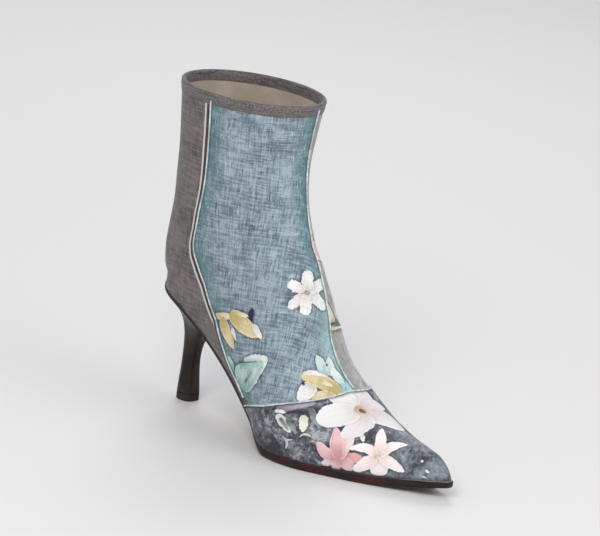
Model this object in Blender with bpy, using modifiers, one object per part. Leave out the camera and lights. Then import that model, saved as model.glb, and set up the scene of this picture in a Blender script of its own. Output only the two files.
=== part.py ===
"""Pointed-toe ankle boot for a right foot: patchwork cloth upper, leather sole, slim flared heel.

Metres, +Z up. The floor is z = 0, +X runs to the toe and +Y to the inner side of the foot.
The origin is the centre of the heel's tread on the floor. Tables are in millimetres.
"""

import math
from collections import namedtuple

import bmesh
import bpy
from mathutils import Vector

MM = 0.001

# Driving sizes, in millimetres.
WALL = 1.8                # cloth and lining together
VAMP_STEP = 0.8           # the vamp lies on the quarters and stands this far proud of them
SEAT_GAP = 0.3            # clearance where two pieces meet
SOLE_TOE = 4.3            # outsole thickness at the toe
SOLE_FOREPART = 6.4       # under the ball
SOLE_WAIST = 3.6
SOLE_SEAT = 3.0
SOLE_MARGIN_TOE = 1.9     # how far the outsole shows past the upper
SOLE_MARGIN_BALL = 1.3
SOLE_MARGIN_WAIST = 0.3
INSOLE_THICK = 1.6
INSOLE_INSET = WALL + 0.7
LIFT_HEIGHT = 5.0         # rubber top piece under the heel
PIPING_RADIUS = 0.65
PIPING_GAP = 0.35         # clearance under the cord

# The last, one row for each section from the toe to the collar. A section stands on its base
# point (on the sole, then up the back of the heel) and ends at its top point (along the vamp
# ridge, the instep and the front of the shaft). Feather is the half width at the sole's edge,
# half the largest half width, widest its height as a share of the section, and swing the
# centre's shift to the inner side. From the row "back" upwards the sections close at the back.
Section = namedtuple(
    "Section",
    "base_x base_z feather_out feather_in top_x top_z half_out half_in widest swing",
)
LAST = {
    "toe_tip": Section(227.2, 12.3, 0.0, 0.0, 226.3, 14.8, 0.0, 0.0, 0.42, 5.0),
    "toe_end": Section(223.6, 11.6, 4.2, 4.2, 219.8, 20.4, 4.6, 4.6, 0.41, 4.9),
    "toe_box": Section(217.0, 10.6, 7.9, 7.6, 212.2, 24.2, 8.7, 8.4, 0.40, 4.6),
    "toe_mid": Section(204.3, 8.8, 13.2, 12.4, 198.8, 26.8, 14.4, 13.7, 0.38, 4.0),
    "toe_back": Section(185.1, 6.9, 22.2, 19.4, 179.1, 30.2, 24.2, 21.4, 0.36, 3.0),
    "vamp": Section(160, 6.1, 32.6, 28.0, 154.0, 38.0, 35.6, 31.0, 0.34, 1.5),
    "ball": Section(134, 6.0, 41.0, 36.0, 130.0, 51.4, 44.5, 39.5, 0.33, 0.0),
    "joint": Section(110, 6.6, 41.0, 32.5, 116.5, 68.8, 43.8, 38.0, 0.33, -0.5),
    "waist_front": Section(87, 18.1, 31.0, 24.5, 111.0, 87.2, 36.3, 34.0, 0.36, 0.0),
    "waist_back": Section(61, 35.5, 24.8, 21.0, 104.0, 105.0, 32.8, 32.0, 0.38, 0.0),
    "seat_front": Section(36, 53.5, 23.5, 22.0, 96.0, 121.0, 31.0, 31.0, 0.40, 0.0),
    "seat_mid": Section(13, 67.5, 24.5, 24.0, 88.5, 135.0, 30.3, 30.3, 0.42, 0.0),
    "seat_back": Section(-7, 75.5, 21.5, 21.5, 84.5, 147.0, 30.0, 30.0, 0.44, 0.0),
    "back": Section(-21, 80.5, 0.0, 0.0, 82.0, 157.0, 30.0, 30.0, 0.46, 0.0),
    "counter": Section(-25, 98.0, 0.0, 0.0, 80.5, 167.0, 30.2, 30.2, 0.48, 0.0),
    "ankle": Section(-21, 134.0, 0.0, 0.0, 79.5, 182.0, 31.5, 31.5, 0.50, 0.0),
    "shaft": Section(-20, 176.0, 0.0, 0.0, 81.0, 199.0, 34.5, 34.5, 0.50, 0.0),
    "collar": Section(-22, 215.0, 0.0, 0.0, 84.0, 217.0, 37.5, 37.5, 0.50, 0.0),
}
ROWS = list(LAST.values())
ROW = {name: float(i) for i, name in enumerate(LAST)}
WIDTHS = ("feather_out", "feather_in", "half_out", "half_in")

# The vamp's top seam is a sloping plane through the ridge and the waist.
VAMP_SEAM_RIDGE = (143.0, 46.8)      # x, z
VAMP_SEAM_WAIST = (86.0, 24.0)
SEAM_HALF_ROW = 0.03                 # half the width of the step, in table rows

# Around a section, place runs from -1 (outer sole edge) over 0 (top) to +1 (inner sole edge).
FRONT_SEAM_PLACE = 0.055
BACK_SEAM = (                        # row, place
    (8.35, 0.80),
    (8.75, 0.785),
    (9.15, 0.76),
    (9.55, 0.71),
    (10.1, 0.64),
    (11.2, 0.575),
    (13.0, 0.53),
    (17.0, 0.50),
)

# The heel, one row for each section from the top piece to the seat. Rise is the share of the
# way up, back and front are x, and half is the half width.
HeelSection = namedtuple("HeelSection", "rise back front half")
HEEL = (
    HeelSection(0.00, -7.0, 7.4, 6.7),
    HeelSection(0.10, -6.6, 7.0, 6.3),
    HeelSection(0.26, -5.9, 6.3, 5.6),
    HeelSection(0.44, -5.6, 6.0, 5.3),
    HeelSection(0.58, -6.0, 6.7, 5.7),
    HeelSection(0.70, -7.6, 8.2, 7.0),
    HeelSection(0.80, -10.4, 10.8, 9.6),
    HeelSection(0.89, -14.4, 16.0, 14.0),
    HeelSection(0.96, -18.2, 23.8, 19.4),
    HeelSection(1.00, -20.2, 30.5, 22.8),
)
HEEL_BREAST_POWER = 3.0              # the breast is flatter than the round back
HEEL_SIDES = 24

# Mesh density.
COLUMNS = 36
VAMP_ROWS = 15
QUARTER_ROWS = 16
SHAFT_ROWS = 8

# Base colour, roughness and metallic value of each material.
FINISHES = {
    "denim": ((0.27, 0.33, 0.38), 0.85, 0.0),
    "sole_leather": ((0.045, 0.026, 0.019), 0.45, 0.0),
    "heel_leather": ((0.035, 0.024, 0.018), 0.40, 0.0),
    "heel_rubber": ((0.030, 0.025, 0.022), 0.70, 0.0),
    "insole_leather": ((0.42, 0.33, 0.24), 0.60, 0.0),
    "selvedge": ((0.66, 0.72, 0.74), 0.80, 0.0),
}


def clear_scene():
    for obj in list(bpy.data.objects):
        bpy.data.objects.remove(obj)


def make_collection(name):
    made = bpy.data.collections.new(name)
    bpy.context.scene.collection.children.link(made)
    return made


def make_material(name):
    colour, roughness, metallic = FINISHES[name]
    material = bpy.data.materials.new(name)
    material.use_nodes = True
    shader = material.node_tree.nodes["Principled BSDF"]
    shader.inputs["Base Color"].default_value = (*colour, 1.0)
    shader.inputs["Roughness"].default_value = roughness
    shader.inputs["Metallic"].default_value = metallic
    return material


def curve_through(before, start, end, after, share):
    """Catmull-Rom value between start and end."""
    return 0.5 * (
        2 * start
        + (end - before) * share
        + (2 * before - 5 * start + 4 * end - after) * share ** 2
        + (3 * start - before - 3 * end + after) * share ** 3
    )


def section_at(row):
    """The last's section at a fractional row. Widths run as squares, so that the ends are round."""
    row = min(max(row, 0.0), len(ROWS) - 1.0)
    low = min(int(row), len(ROWS) - 2)
    near = [ROWS[max(low - 1, 0)], ROWS[low], ROWS[low + 1], ROWS[min(low + 2, len(ROWS) - 1)]]
    values = {}
    for name in Section._fields:
        power = 2.0 if name in WIDTHS else 1.0
        column = [getattr(section, name) ** power for section in near]
        values[name] = curve_through(*column, row - low)
    for name in WIDTHS:
        values[name] = math.sqrt(max(values[name], 0.0))
    return Section(**values)


def upper_point(row, place):
    """A point of the upper's outer surface, in millimetres."""
    s = section_at(row)
    half, feather = (s.half_out, s.feather_out) if place < 0 else (s.half_in, s.feather_in)
    turn = abs(place) * math.pi
    if turn <= math.pi / 2:
        height = s.widest + (1 - s.widest) * math.cos(turn)
        across = half * math.sin(turn)
    else:
        drop = -math.cos(turn)
        height = s.widest * (1 - drop)
        across = math.sqrt(max(half ** 2 - (half ** 2 - feather ** 2) * drop ** 2, 0.0))
    side = -1 if place < 0 else 1
    return Vector((
        s.base_x + (s.top_x - s.base_x) * height,
        s.swing + side * across,
        s.base_z + (s.top_z - s.base_z) * height,
    ))


def upper_normal(row, place):
    """The outward normal there, from small steps along and around the surface."""
    step = 0.02
    if row < step:
        ahead = upper_point(row, place) - upper_middle(ROW["toe_end"])
        return ahead.normalized()
    row = min(row, ROW["collar"] - step)
    place = min(max(place, step - 1), 1 - step)
    along = upper_point(row + step, place) - upper_point(row - step, place)
    around = upper_point(row, place + step) - upper_point(row, place - step)
    normal = around.cross(along).normalized()
    outward = upper_point(row, place) - upper_middle(row)
    return normal if normal.dot(outward) > 0 else -normal


def upper_middle(row):
    """The middle of a section, at the height where it is widest."""
    s = section_at(row)
    across = s.top_x - s.base_x
    rise = s.top_z - s.base_z
    return Vector((s.base_x + across * s.widest, s.swing, s.base_z + rise * s.widest))


def vamp_seam_row(place):
    """The row where the vamp's seam plane cuts the line of points at this place."""
    run = VAMP_SEAM_RIDGE[0] - VAMP_SEAM_WAIST[0]
    slope = (VAMP_SEAM_RIDGE[1] - VAMP_SEAM_WAIST[1]) / run
    low, high = ROW["toe_box"], ROW["seat_mid"]
    for _ in range(40):
        row = (low + high) / 2
        point = upper_point(row, place)
        above = point.z - VAMP_SEAM_WAIST[1] - slope * (point.x - VAMP_SEAM_WAIST[0])
        low, high = (low, row) if above > 0 else (row, high)
    return (low + high) / 2


def back_seam_place(row):
    """How far round the back seam lies at a row, on a smooth curve through its table."""
    spots = BACK_SEAM
    low = max(i for i in range(len(spots) - 1) if spots[i][0] <= row or i == 0)
    near = [spots[max(low - 1, 0)], spots[low], spots[low + 1], spots[min(low + 2, len(spots) - 1)]]
    share = (row - near[1][0]) / (near[2][0] - near[1][0])
    return curve_through(*[place for _, place in near], share)


def sole_thickness(row):
    """Outsole thickness: full under the ball, thinner at the toe, the waist and the seat."""
    if row <= ROW["joint"]:
        share = min(row / ROW["toe_back"], 1.0)
        return SOLE_TOE + (SOLE_FOREPART - SOLE_TOE) * share
    if row <= ROW["waist_back"]:
        share = (row - ROW["joint"]) / (ROW["waist_back"] - ROW["joint"])
        return SOLE_FOREPART + (SOLE_WAIST - SOLE_FOREPART) * share
    share = (row - ROW["waist_back"]) / (ROW["back"] - ROW["waist_back"])
    return SOLE_WAIST + (SOLE_SEAT - SOLE_WAIST) * share


def sole_margin(row):
    """How far the outsole reaches past the upper's feather edge."""
    if row <= ROW["ball"]:
        share = row / ROW["ball"]
        return SOLE_MARGIN_TOE + (SOLE_MARGIN_BALL - SOLE_MARGIN_TOE) * share
    share = min((row - ROW["ball"]) / (ROW["waist_front"] - ROW["ball"]), 1.0)
    return SOLE_MARGIN_BALL + (SOLE_MARGIN_WAIST - SOLE_MARGIN_BALL) * share


def sole_bottom(row):
    """Height of the outsole's underside, flat on the floor under the ball."""
    return max(section_at(row).base_z - sole_thickness(row), 0.0)


def row_at_x(x):
    """The row between the joint and the back of the heel whose base point is at x."""
    low, high = ROW["joint"], ROW["back"]
    for _ in range(40):
        row = (low + high) / 2
        low, high = (row, high) if section_at(row).base_x > x else (low, row)
    return (low + high) / 2


def sole_rows():
    """Rows along the sole, close together at its round ends."""
    ends = (0.0, 0.12, 0.35, 0.65)
    toe = ROW["toe_tip"]
    back = ROW["back"]
    steps = int((back - toe - 2) * 2)
    middle = [toe + 1 + i * (back - toe - 2) / steps for i in range(steps + 1)]
    return [toe + e for e in ends] + middle + [back - e for e in reversed(ends)]


def add_object(name, mesh_builder, material, collection):
    """Makes one named object from a bmesh in millimetres."""
    bm = bmesh.new()
    mesh_builder(bm)
    bmesh.ops.remove_doubles(bm, verts=bm.verts, dist=0.002)
    bmesh.ops.recalc_face_normals(bm, faces=bm.faces)
    bmesh.ops.scale(bm, vec=(MM, MM, MM), verts=bm.verts)
    bmesh.ops.triangulate(bm, faces=bm.faces)
    mesh = bpy.data.meshes.new(name)
    bm.to_mesh(mesh)
    bm.free()
    mesh.shade_smooth()
    mesh.set_sharp_from_angle(angle=math.radians(40))
    mesh.materials.append(material)
    obj = bpy.data.objects.new(name, mesh)
    collection.objects.link(obj)
    return obj


def loft(bm, rings, closed=True, capped=True):
    """Joins rings of points, each with the same count, and caps the ends."""
    rows = [[bm.verts.new(point) for point in ring] for ring in rings]
    count = len(rings[0])
    for lower, upper in zip(rows, rows[1:]):
        for i in range(count if closed else count - 1):
            j = (i + 1) % count
            bm.faces.new((lower[i], lower[j], upper[j], upper[i]))
    if capped:
        bm.faces.new(rows[0])
        bm.faces.new(rows[-1])
    return rows


def upper_rows():
    """For each mesh row, the table row at every place and how far the vamp lifts it."""
    places = [-1 + 2 * i / COLUMNS for i in range(COLUMNS + 1)]
    seams = [vamp_seam_row(place) for place in places]
    back = ROW["back"]
    rows = []
    for i in range(VAMP_ROWS + 1):
        share = (i / VAMP_ROWS) ** 0.8
        rows.append(([(seam - SEAM_HALF_ROW) * share for seam in seams], VAMP_STEP))
    for i in range(QUARTER_ROWS + 1):
        share = i / QUARTER_ROWS
        starts = [seam + SEAM_HALF_ROW for seam in seams]
        rows.append(([start + (back - start) * share for start in starts], 0.0))
    for i in range(1, SHAFT_ROWS + 1):
        row = back + (ROW["collar"] - back) * i / SHAFT_ROWS
        rows.append(([row] * len(places), 0.0))
    return places, rows


def build_upper(bm):
    """The upper's outer surface, open at the collar and underneath, with the vamp's step."""
    places, rows = upper_rows()
    grid = []
    for table_rows, lift in rows:
        line = []
        for row, place in zip(table_rows, places):
            point = upper_point(row, place)
            if lift:
                away = upper_normal(row, place) * lift
                point += Vector((away.x, away.y, max(away.z, 0.0)))
            line.append(bm.verts.new(point))
        grid.append(line)
    for lower, upper in zip(grid, grid[1:]):
        for i in range(COLUMNS):
            bm.faces.new((lower[i], lower[i + 1], upper[i + 1], upper[i]))


def thicken(obj, wall):
    """Gives an open surface a wall on its inner side."""
    modifier = obj.modifiers.new("wall", "SOLIDIFY")
    modifier.thickness = wall * MM
    modifier.offset = -1.0


def sole_ring(row):
    """The outsole's section: flat top and underside, with the edge rounded in underneath."""
    s = section_at(row)
    margin = sole_margin(row)
    ahead = max(1.0 - row, 0.0) * SOLE_MARGIN_TOE - max(row - ROW["seat_back"], 0.0) * margin
    out, inner = max(s.feather_out + margin, 1.2), max(s.feather_in + margin, 1.2)
    top = s.base_z - SEAT_GAP
    bottom = sole_bottom(row)
    deep = top - bottom
    waist = max(0.0, 1 - abs(row - ROW["waist_back"]) / 3.0)
    roll = 0.9 + 2.6 * waist
    edge = ((1.0, 0.0, 0.0), (1.0, 0.0, 0.45), (1.0, 0.25, 0.80), (1.0, 1.0, 1.0))
    half_ring = [(inner * w - min(roll * r, inner * 0.45), top - deep * d) for w, r, d in edge]
    other = [(-out * w + min(roll * r, out * 0.45), top - deep * d) for w, r, d in reversed(edge)]
    ring = [(0.0, top), *half_ring, (0.0, bottom), *other]
    return [(s.base_x + ahead, s.swing + y, z) for y, z in ring]


def build_outsole(bm):
    loft(bm, [sole_ring(row) for row in sole_rows()])


def insole_half(row, edge):
    """Half width of the insole, kept square off the sole's edge by the inset."""
    step = 0.02
    before, after = section_at(row - step), section_at(row + step)
    slope = (getattr(after, edge) - getattr(before, edge)) / (after.base_x - before.base_x)
    return getattr(section_at(row), edge) - INSOLE_INSET * math.hypot(1.0, slope)


def build_insole(bm):
    """A thin sheet inside the upper's walls."""
    first, last = 1.3, ROW["back"] - 0.2
    count = 24
    rings = []
    for i in range(count + 1):
        row = first + (last - first) * i / count
        s = section_at(row)
        out, inner = insole_half(row, "feather_out"), insole_half(row, "feather_in")
        low = s.base_z + 0.05
        high = low + INSOLE_THICK
        ring = [(-out, low), (inner, low), (inner, high), (0.0, high), (-out, high)]
        rings.append([(s.base_x, s.swing + y, z) for y, z in ring])
    loft(bm, rings)


def heel_outline(section):
    """Points round a heel section: a round back and a flatter breast."""
    centre = section.back + section.half if section.back + section.half < section.front else 0.0
    points = []
    for i in range(HEEL_SIDES):
        angle = 2 * math.pi * i / HEEL_SIDES
        c, s = math.cos(angle), math.sin(angle)
        reach = section.front - centre if c > 0 else centre - section.back
        power = 2 / HEEL_BREAST_POWER if c > 0 else 1.0
        x = centre + math.copysign(reach * abs(c) ** power, c)
        y = math.copysign(section.half * abs(s) ** power, s)
        points.append((x, y))
    return points


def build_heel(bm):
    """From the top piece to the outsole's underside, which its top follows."""
    seat = [sole_bottom(row_at_x(x)) - SEAT_GAP for x, _ in heel_outline(HEEL[-1])]
    rings = []
    for section in HEEL:
        outline = heel_outline(section)
        ring = []
        for (x, y), top in zip(outline, seat):
            ring.append((x, y, LIFT_HEIGHT + (top - LIFT_HEIGHT) * section.rise))
        rings.append(ring)
    rows = loft(bm, rings, capped=False)
    bm.faces.new(rows[0])
    cap_heel_seat(bm, rows[-1])


def cap_heel_seat(bm, rim):
    """Closes the heel's curved top with strips across, so that it follows the seat."""
    count = len(rim)
    half = count // 2
    for i in range(half):
        left, right = rim[i], rim[(count - i) % count]
        next_left, next_right = rim[i + 1], rim[(count - i - 1) % count]
        corners = []
        for vert in (left, next_left, next_right, right):
            if vert not in corners:
                corners.append(vert)
        bm.faces.new(corners)


def build_top_piece(bm):
    outline = heel_outline(HEEL[0])
    loft(bm, [[(x, y, z) for x, y in outline] for z in (0.0, LIFT_HEIGHT - SEAT_GAP)])


def add_piping(name, path, material, collection):
    """A round cord along a path of (row, place) pairs, standing just off the upper."""
    curve = bpy.data.curves.new(name, "CURVE")
    curve.dimensions = "3D"
    curve.bevel_depth = PIPING_RADIUS * MM
    curve.bevel_resolution = 2
    curve.use_fill_caps = True
    spline = curve.splines.new("POLY")
    spline.points.add(len(path) - 1)
    for spot, (row, place) in zip(spline.points, path):
        point = upper_point(row, place) + upper_normal(row, place) * (PIPING_RADIUS + PIPING_GAP)
        spot.co = (*(point * MM), 1.0)
    curve.materials.append(material)
    collection.objects.link(bpy.data.objects.new(name, curve))


def vamp_seam_path():
    clear = 0.09
    count = 44
    places = [-0.95 + 1.9 * i / count for i in range(count + 1)]
    return [(vamp_seam_row(place) + clear, place) for place in places]


def front_seam_path():
    first = vamp_seam_row(FRONT_SEAM_PLACE) + 0.24
    last = ROW["collar"] - 0.03
    count = 26
    return [(first + (last - first) * i / count, FRONT_SEAM_PLACE) for i in range(count + 1)]


def back_seam_path(side):
    first, last = BACK_SEAM[0][0], ROW["collar"] - 0.03
    count = 36
    rows = [first + (last - first) * i / count for i in range(count + 1)]
    return [(row, side * back_seam_place(row)) for row in rows]


def main():
    clear_scene()
    boot = make_collection("pointed_toe_boot")
    materials = {name: make_material(name) for name in FINISHES}
    upper = add_object("upper", build_upper, materials["denim"], boot)
    thicken(upper, WALL)
    add_object("outsole", build_outsole, materials["sole_leather"], boot)
    add_object("insole", build_insole, materials["insole_leather"], boot)
    add_object("heel", build_heel, materials["heel_leather"], boot)
    add_object("top_piece", build_top_piece, materials["heel_rubber"], boot)
    piping = {
        "vamp_piping": vamp_seam_path(),
        "front_piping": front_seam_path(),
        "back_piping_outer": back_seam_path(-1),
        "back_piping_inner": back_seam_path(1),
    }
    for name, path in piping.items():
        add_piping(name, path, materials["selvedge"], boot)


main()
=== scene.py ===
"""Looks for a pointed-toe ankle boot: printed denim panels, pale piping, leather sole, slim flared heel.

Tables and shape functions are in millimetres, in the part's own frame: +X to the toe, +Y to the
inner side, +Z up, floor at zero. Meshes are written in metres.
"""

import math
from collections import namedtuple

import bmesh
import bpy
import numpy as np
from mathutils import Matrix, Vector


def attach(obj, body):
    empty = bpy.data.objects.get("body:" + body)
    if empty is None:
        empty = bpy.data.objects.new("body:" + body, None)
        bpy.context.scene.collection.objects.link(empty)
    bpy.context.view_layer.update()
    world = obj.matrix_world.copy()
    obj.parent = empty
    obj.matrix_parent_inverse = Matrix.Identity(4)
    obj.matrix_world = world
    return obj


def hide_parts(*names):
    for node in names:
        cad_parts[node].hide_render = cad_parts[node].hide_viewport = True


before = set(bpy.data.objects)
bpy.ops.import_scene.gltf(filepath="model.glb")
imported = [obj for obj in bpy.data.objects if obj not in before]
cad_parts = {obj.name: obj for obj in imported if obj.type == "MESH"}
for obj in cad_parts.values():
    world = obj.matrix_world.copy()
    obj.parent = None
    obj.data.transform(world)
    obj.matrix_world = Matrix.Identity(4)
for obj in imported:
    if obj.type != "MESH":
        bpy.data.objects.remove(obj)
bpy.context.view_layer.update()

MM = 0.001

# The last, one row for each section from the toe to the collar, as in the part's own source.
LAST_COLUMNS = (
    "base_x", "base_z", "feather_out", "feather_in", "top_x", "top_z",
    "half_out", "half_in", "widest", "swing",
)
LAST = np.array([
    (227.2, 12.3, 0.0, 0.0, 226.3, 14.8, 0.0, 0.0, 0.42, 5.0),
    (223.6, 11.6, 4.2, 4.2, 219.8, 20.4, 4.6, 4.6, 0.41, 4.9),
    (217.0, 10.6, 7.9, 7.6, 212.2, 24.2, 8.7, 8.4, 0.40, 4.6),
    (204.3, 8.8, 13.2, 12.4, 198.8, 26.8, 14.4, 13.7, 0.38, 4.0),
    (185.1, 6.9, 22.2, 19.4, 179.1, 30.2, 24.2, 21.4, 0.36, 3.0),
    (160, 6.1, 32.6, 28.0, 154.0, 38.0, 35.6, 31.0, 0.34, 1.5),
    (134, 6.0, 41.0, 36.0, 130.0, 51.4, 44.5, 39.5, 0.33, 0.0),
    (110, 6.6, 41.0, 32.5, 116.5, 68.8, 43.8, 38.0, 0.33, -0.5),
    (87, 18.1, 31.0, 24.5, 111.0, 87.2, 36.3, 34.0, 0.36, 0.0),
    (61, 35.5, 24.8, 21.0, 104.0, 105.0, 32.8, 32.0, 0.38, 0.0),
    (36, 53.5, 23.5, 22.0, 96.0, 121.0, 31.0, 31.0, 0.40, 0.0),
    (13, 67.5, 24.5, 24.0, 88.5, 135.0, 30.3, 30.3, 0.42, 0.0),
    (-7, 75.5, 21.5, 21.5, 84.5, 147.0, 30.0, 30.0, 0.44, 0.0),
    (-21, 80.5, 0.0, 0.0, 82.0, 157.0, 30.0, 30.0, 0.46, 0.0),
    (-25, 98.0, 0.0, 0.0, 80.5, 167.0, 30.2, 30.2, 0.48, 0.0),
    (-21, 134.0, 0.0, 0.0, 79.5, 182.0, 31.5, 31.5, 0.50, 0.0),
    (-20, 176.0, 0.0, 0.0, 81.0, 199.0, 34.5, 34.5, 0.50, 0.0),
    (-22, 215.0, 0.0, 0.0, 84.0, 217.0, 37.5, 37.5, 0.50, 0.0),
], float)
WIDTHS = [LAST_COLUMNS.index(name) for name in ("feather_out", "feather_in", "half_out", "half_in")]

# Rows of the last that the sole, the heel and the panels are measured from.
TOE_BACK, BALL, JOINT, WAIST_FRONT, WAIST_BACK = 4.0, 6.0, 7.0, 8.0, 9.0
SEAT_BACK, BACK, COLLAR = 12.0, 13.0, 17.0

# Place runs around a section from -1 (outer sole edge) over 0 (top) to +1 (inner sole edge).
VAMP_SEAM_RIDGE = (143.0, 46.8)
VAMP_SEAM_WAIST = (86.0, 24.0)
SEAM_SEARCH_ROWS = (2.0, 11.0)
SEAM_HALVINGS = 40
FRONT_SEAM_PLACE = 0.055
VAMP_STEP = 0.8
VAMP_STEP_REACH = 1.2
VAMP_LAP = -0.03
QUARTER_TUCK = 0.12
WALL = 1.8
FEATHER_DROP = 0.1

# How many rows the vamp's seam lies off its straight line, by the place's distance from the ridge.
SEAM_SAG = np.array([
    (0.0, -0.02), (0.05, -0.05), (0.1, -0.075), (0.2, -0.09), (0.3, -0.065),
    (0.4, -0.015), (0.6, 0.02), (0.8, 0.05), (1.0, 0.03),
])

# The back seam's row and place, from the waist to the collar.
BACK_SEAM = np.array([
    (8.35, 0.80), (8.75, 0.785), (9.15, 0.76), (9.55, 0.71),
    (10.1, 0.64), (11.2, 0.575), (13.0, 0.53), (17.0, 0.50),
])

# Rows and columns of each panel's mesh, and of the coarse grid that a panel is laid flat on.
VAMP_GRID = (221, 241)
QUARTER_GRID = (251, 121)
BACK_GRID = (221, 71)
LINING_GRID = (181, 97)
FLAT_GRID = (28, 21)
BACK_LOWER_SHARE = 0.6
LEG_START = 110
BACKMOST_X = -25
MERGE_DISTANCE = 0.01 * MM

# Soft creases of the worn cloth: start and end as row and place, then width and depth.
CREASES = [
    (7.6, -0.72, 6.5, -0.52, 4.0, 0.55),
    (7.0, -0.80, 5.9, -0.56, 3.6, 0.50),
    (6.3, -0.82, 5.3, -0.60, 3.4, 0.40),
    (7.5, 0.74, 6.4, 0.52, 4.0, 0.50),
    (6.8, 0.80, 5.7, 0.58, 3.6, 0.40),
    (8.6, -0.30, 8.2, 0.30, 6.0, 0.45),
    (10.6, -0.34, 10.3, 0.34, 7.0, 0.80),
    (11.8, -0.60, 12.6, -0.15, 7.0, 0.70),
    (13.2, 0.62, 12.4, 0.18, 7.0, 0.70),
    (14.2, -0.75, 13.6, -0.35, 8.0, 0.60),
]


# The upper's surface.

def catmull(table, low, share):
    """Smooth values between the rows of a table."""
    last = len(table) - 1
    a, b, c, d = (table[np.clip(low + step, 0, last)] for step in (-1, 0, 1, 2))
    s = share[..., None]
    square = (2 * a - 5 * b + 4 * c - d) * s ** 2
    cube = (3 * b - a - 3 * c + d) * s ** 3
    return 0.5 * (2 * b + (c - a) * s + square + cube)


def sections(rows):
    """The last's sections at fractional rows, with widths run as squares so that the ends are round."""
    rows = np.clip(np.asarray(rows, float), 0, COLLAR)
    table = LAST.copy()
    table[:, WIDTHS] **= 2
    low = np.minimum(rows.astype(int), len(LAST) - 2)
    values = catmull(table, low, rows - low)
    values[..., WIDTHS] = np.sqrt(np.maximum(values[..., WIDTHS], 0))
    return dict(zip(LAST_COLUMNS, np.moveaxis(values, -1, 0)))


def upper_points(rows, places):
    """Points of the upper's outer surface."""
    rows, places = np.broadcast_arrays(np.asarray(rows, float), np.asarray(places, float))
    s = sections(rows)
    outer = places < 0
    half = np.where(outer, s["half_out"], s["half_in"])
    feather = np.where(outer, s["feather_out"], s["feather_in"])
    turn = np.abs(places) * np.pi
    drop = np.maximum(-np.cos(turn), 0)
    over = turn <= np.pi / 2
    height = np.where(over, s["widest"] + (1 - s["widest"]) * np.cos(turn), s["widest"] * (1 - drop))
    under = np.sqrt(np.maximum(half ** 2 - (half ** 2 - feather ** 2) * drop ** 2, 0))
    across = np.where(over, half * np.sin(turn), under)
    return np.stack([
        s["base_x"] + (s["top_x"] - s["base_x"]) * height,
        s["swing"] + np.where(outer, -1, 1) * across,
        s["base_z"] + (s["top_z"] - s["base_z"]) * height,
    ], -1)


def upper_normals(rows, places):
    """Outward normals there."""
    rows, places = np.broadcast_arrays(np.asarray(rows, float), np.asarray(places, float))
    step = 0.02
    r = np.clip(rows, 2 * step, COLLAR - step)
    p = np.clip(places, step - 1, 1 - step)
    along = upper_points(r + step, p) - upper_points(r - step, p)
    around = upper_points(r, p + step) - upper_points(r, p - step)
    normal = np.cross(around, along)
    normal /= np.linalg.norm(normal, axis=-1, keepdims=True) + 1e-12
    s = sections(r)
    middle = np.stack([
        s["base_x"] + (s["top_x"] - s["base_x"]) * s["widest"],
        s["swing"],
        s["base_z"] + (s["top_z"] - s["base_z"]) * s["widest"],
    ], -1)
    outward = np.sum(normal * (upper_points(r, p) - middle), -1, keepdims=True)
    return np.where(outward < 0, -normal, normal)


def vamp_seam_row(places):
    """The row where the vamp's sloping seam crosses the line of points at each place."""
    places = np.asarray(places, float)
    low, high = (np.full(places.shape, row) for row in SEAM_SEARCH_ROWS)
    slope = (VAMP_SEAM_RIDGE[1] - VAMP_SEAM_WAIST[1]) / (VAMP_SEAM_RIDGE[0] - VAMP_SEAM_WAIST[0])
    for _ in range(SEAM_HALVINGS):
        middle = (low + high) / 2
        point = upper_points(middle, places)
        above = point[..., 2] - VAMP_SEAM_WAIST[1] > slope * (point[..., 0] - VAMP_SEAM_WAIST[0])
        low, high = np.where(above, low, middle), np.where(above, middle, high)
    sag = np.interp(np.abs(places), SEAM_SAG[:, 0], SEAM_SAG[:, 1])
    return (low + high) / 2 + sag


def back_seam_place(rows):
    """How far round the back seam lies at each row."""
    rows = np.clip(np.asarray(rows, float), BACK_SEAM[0, 0], BACK_SEAM[-1, 0])
    low = np.clip(np.searchsorted(BACK_SEAM[:, 0], rows, side="right") - 1, 0, len(BACK_SEAM) - 2)
    share = (rows - BACK_SEAM[low, 0]) / (BACK_SEAM[low + 1, 0] - BACK_SEAM[low, 0])
    return catmull(BACK_SEAM[:, 1:], low, share)[..., 0]


def crease_depth(points):
    """How far the cloth stands in or out at each point: troughs with soft banks, and a slight unevenness."""
    x, y, z = np.moveaxis(points, -1, 0)
    broad = 0.10 * np.sin(x / 9.0 + y / 7.0) * np.sin(z / 8.0 - y / 11.0)
    lift = broad + 0.06 * np.sin(x / 4.3 - z / 5.1 + y / 6.0)
    for row_a, place_a, row_b, place_b, width, depth in CREASES:
        share = np.linspace(0, 1, 14)
        line = upper_points(row_a + (row_b - row_a) * share, place_a + (place_b - place_a) * share)
        far = np.full(points.shape[:2], 1e9)
        fade = np.zeros(points.shape[:2])
        for spot, part in zip(line, share):
            gap = np.linalg.norm(points - spot, axis=-1)
            nearer = gap < far
            far = np.where(nearer, gap, far)
            fade = np.where(nearer, math.sin(math.pi * min(max(part, 0.08), 0.92)), fade)
        ratio = (far / width) ** 2
        lift -= depth * fade * (1 - 0.75 * ratio) * np.exp(-0.8 * ratio)
    return lift


# Flat patterns: a panel's points laid flat so that cloth and print keep their true size.

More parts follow.
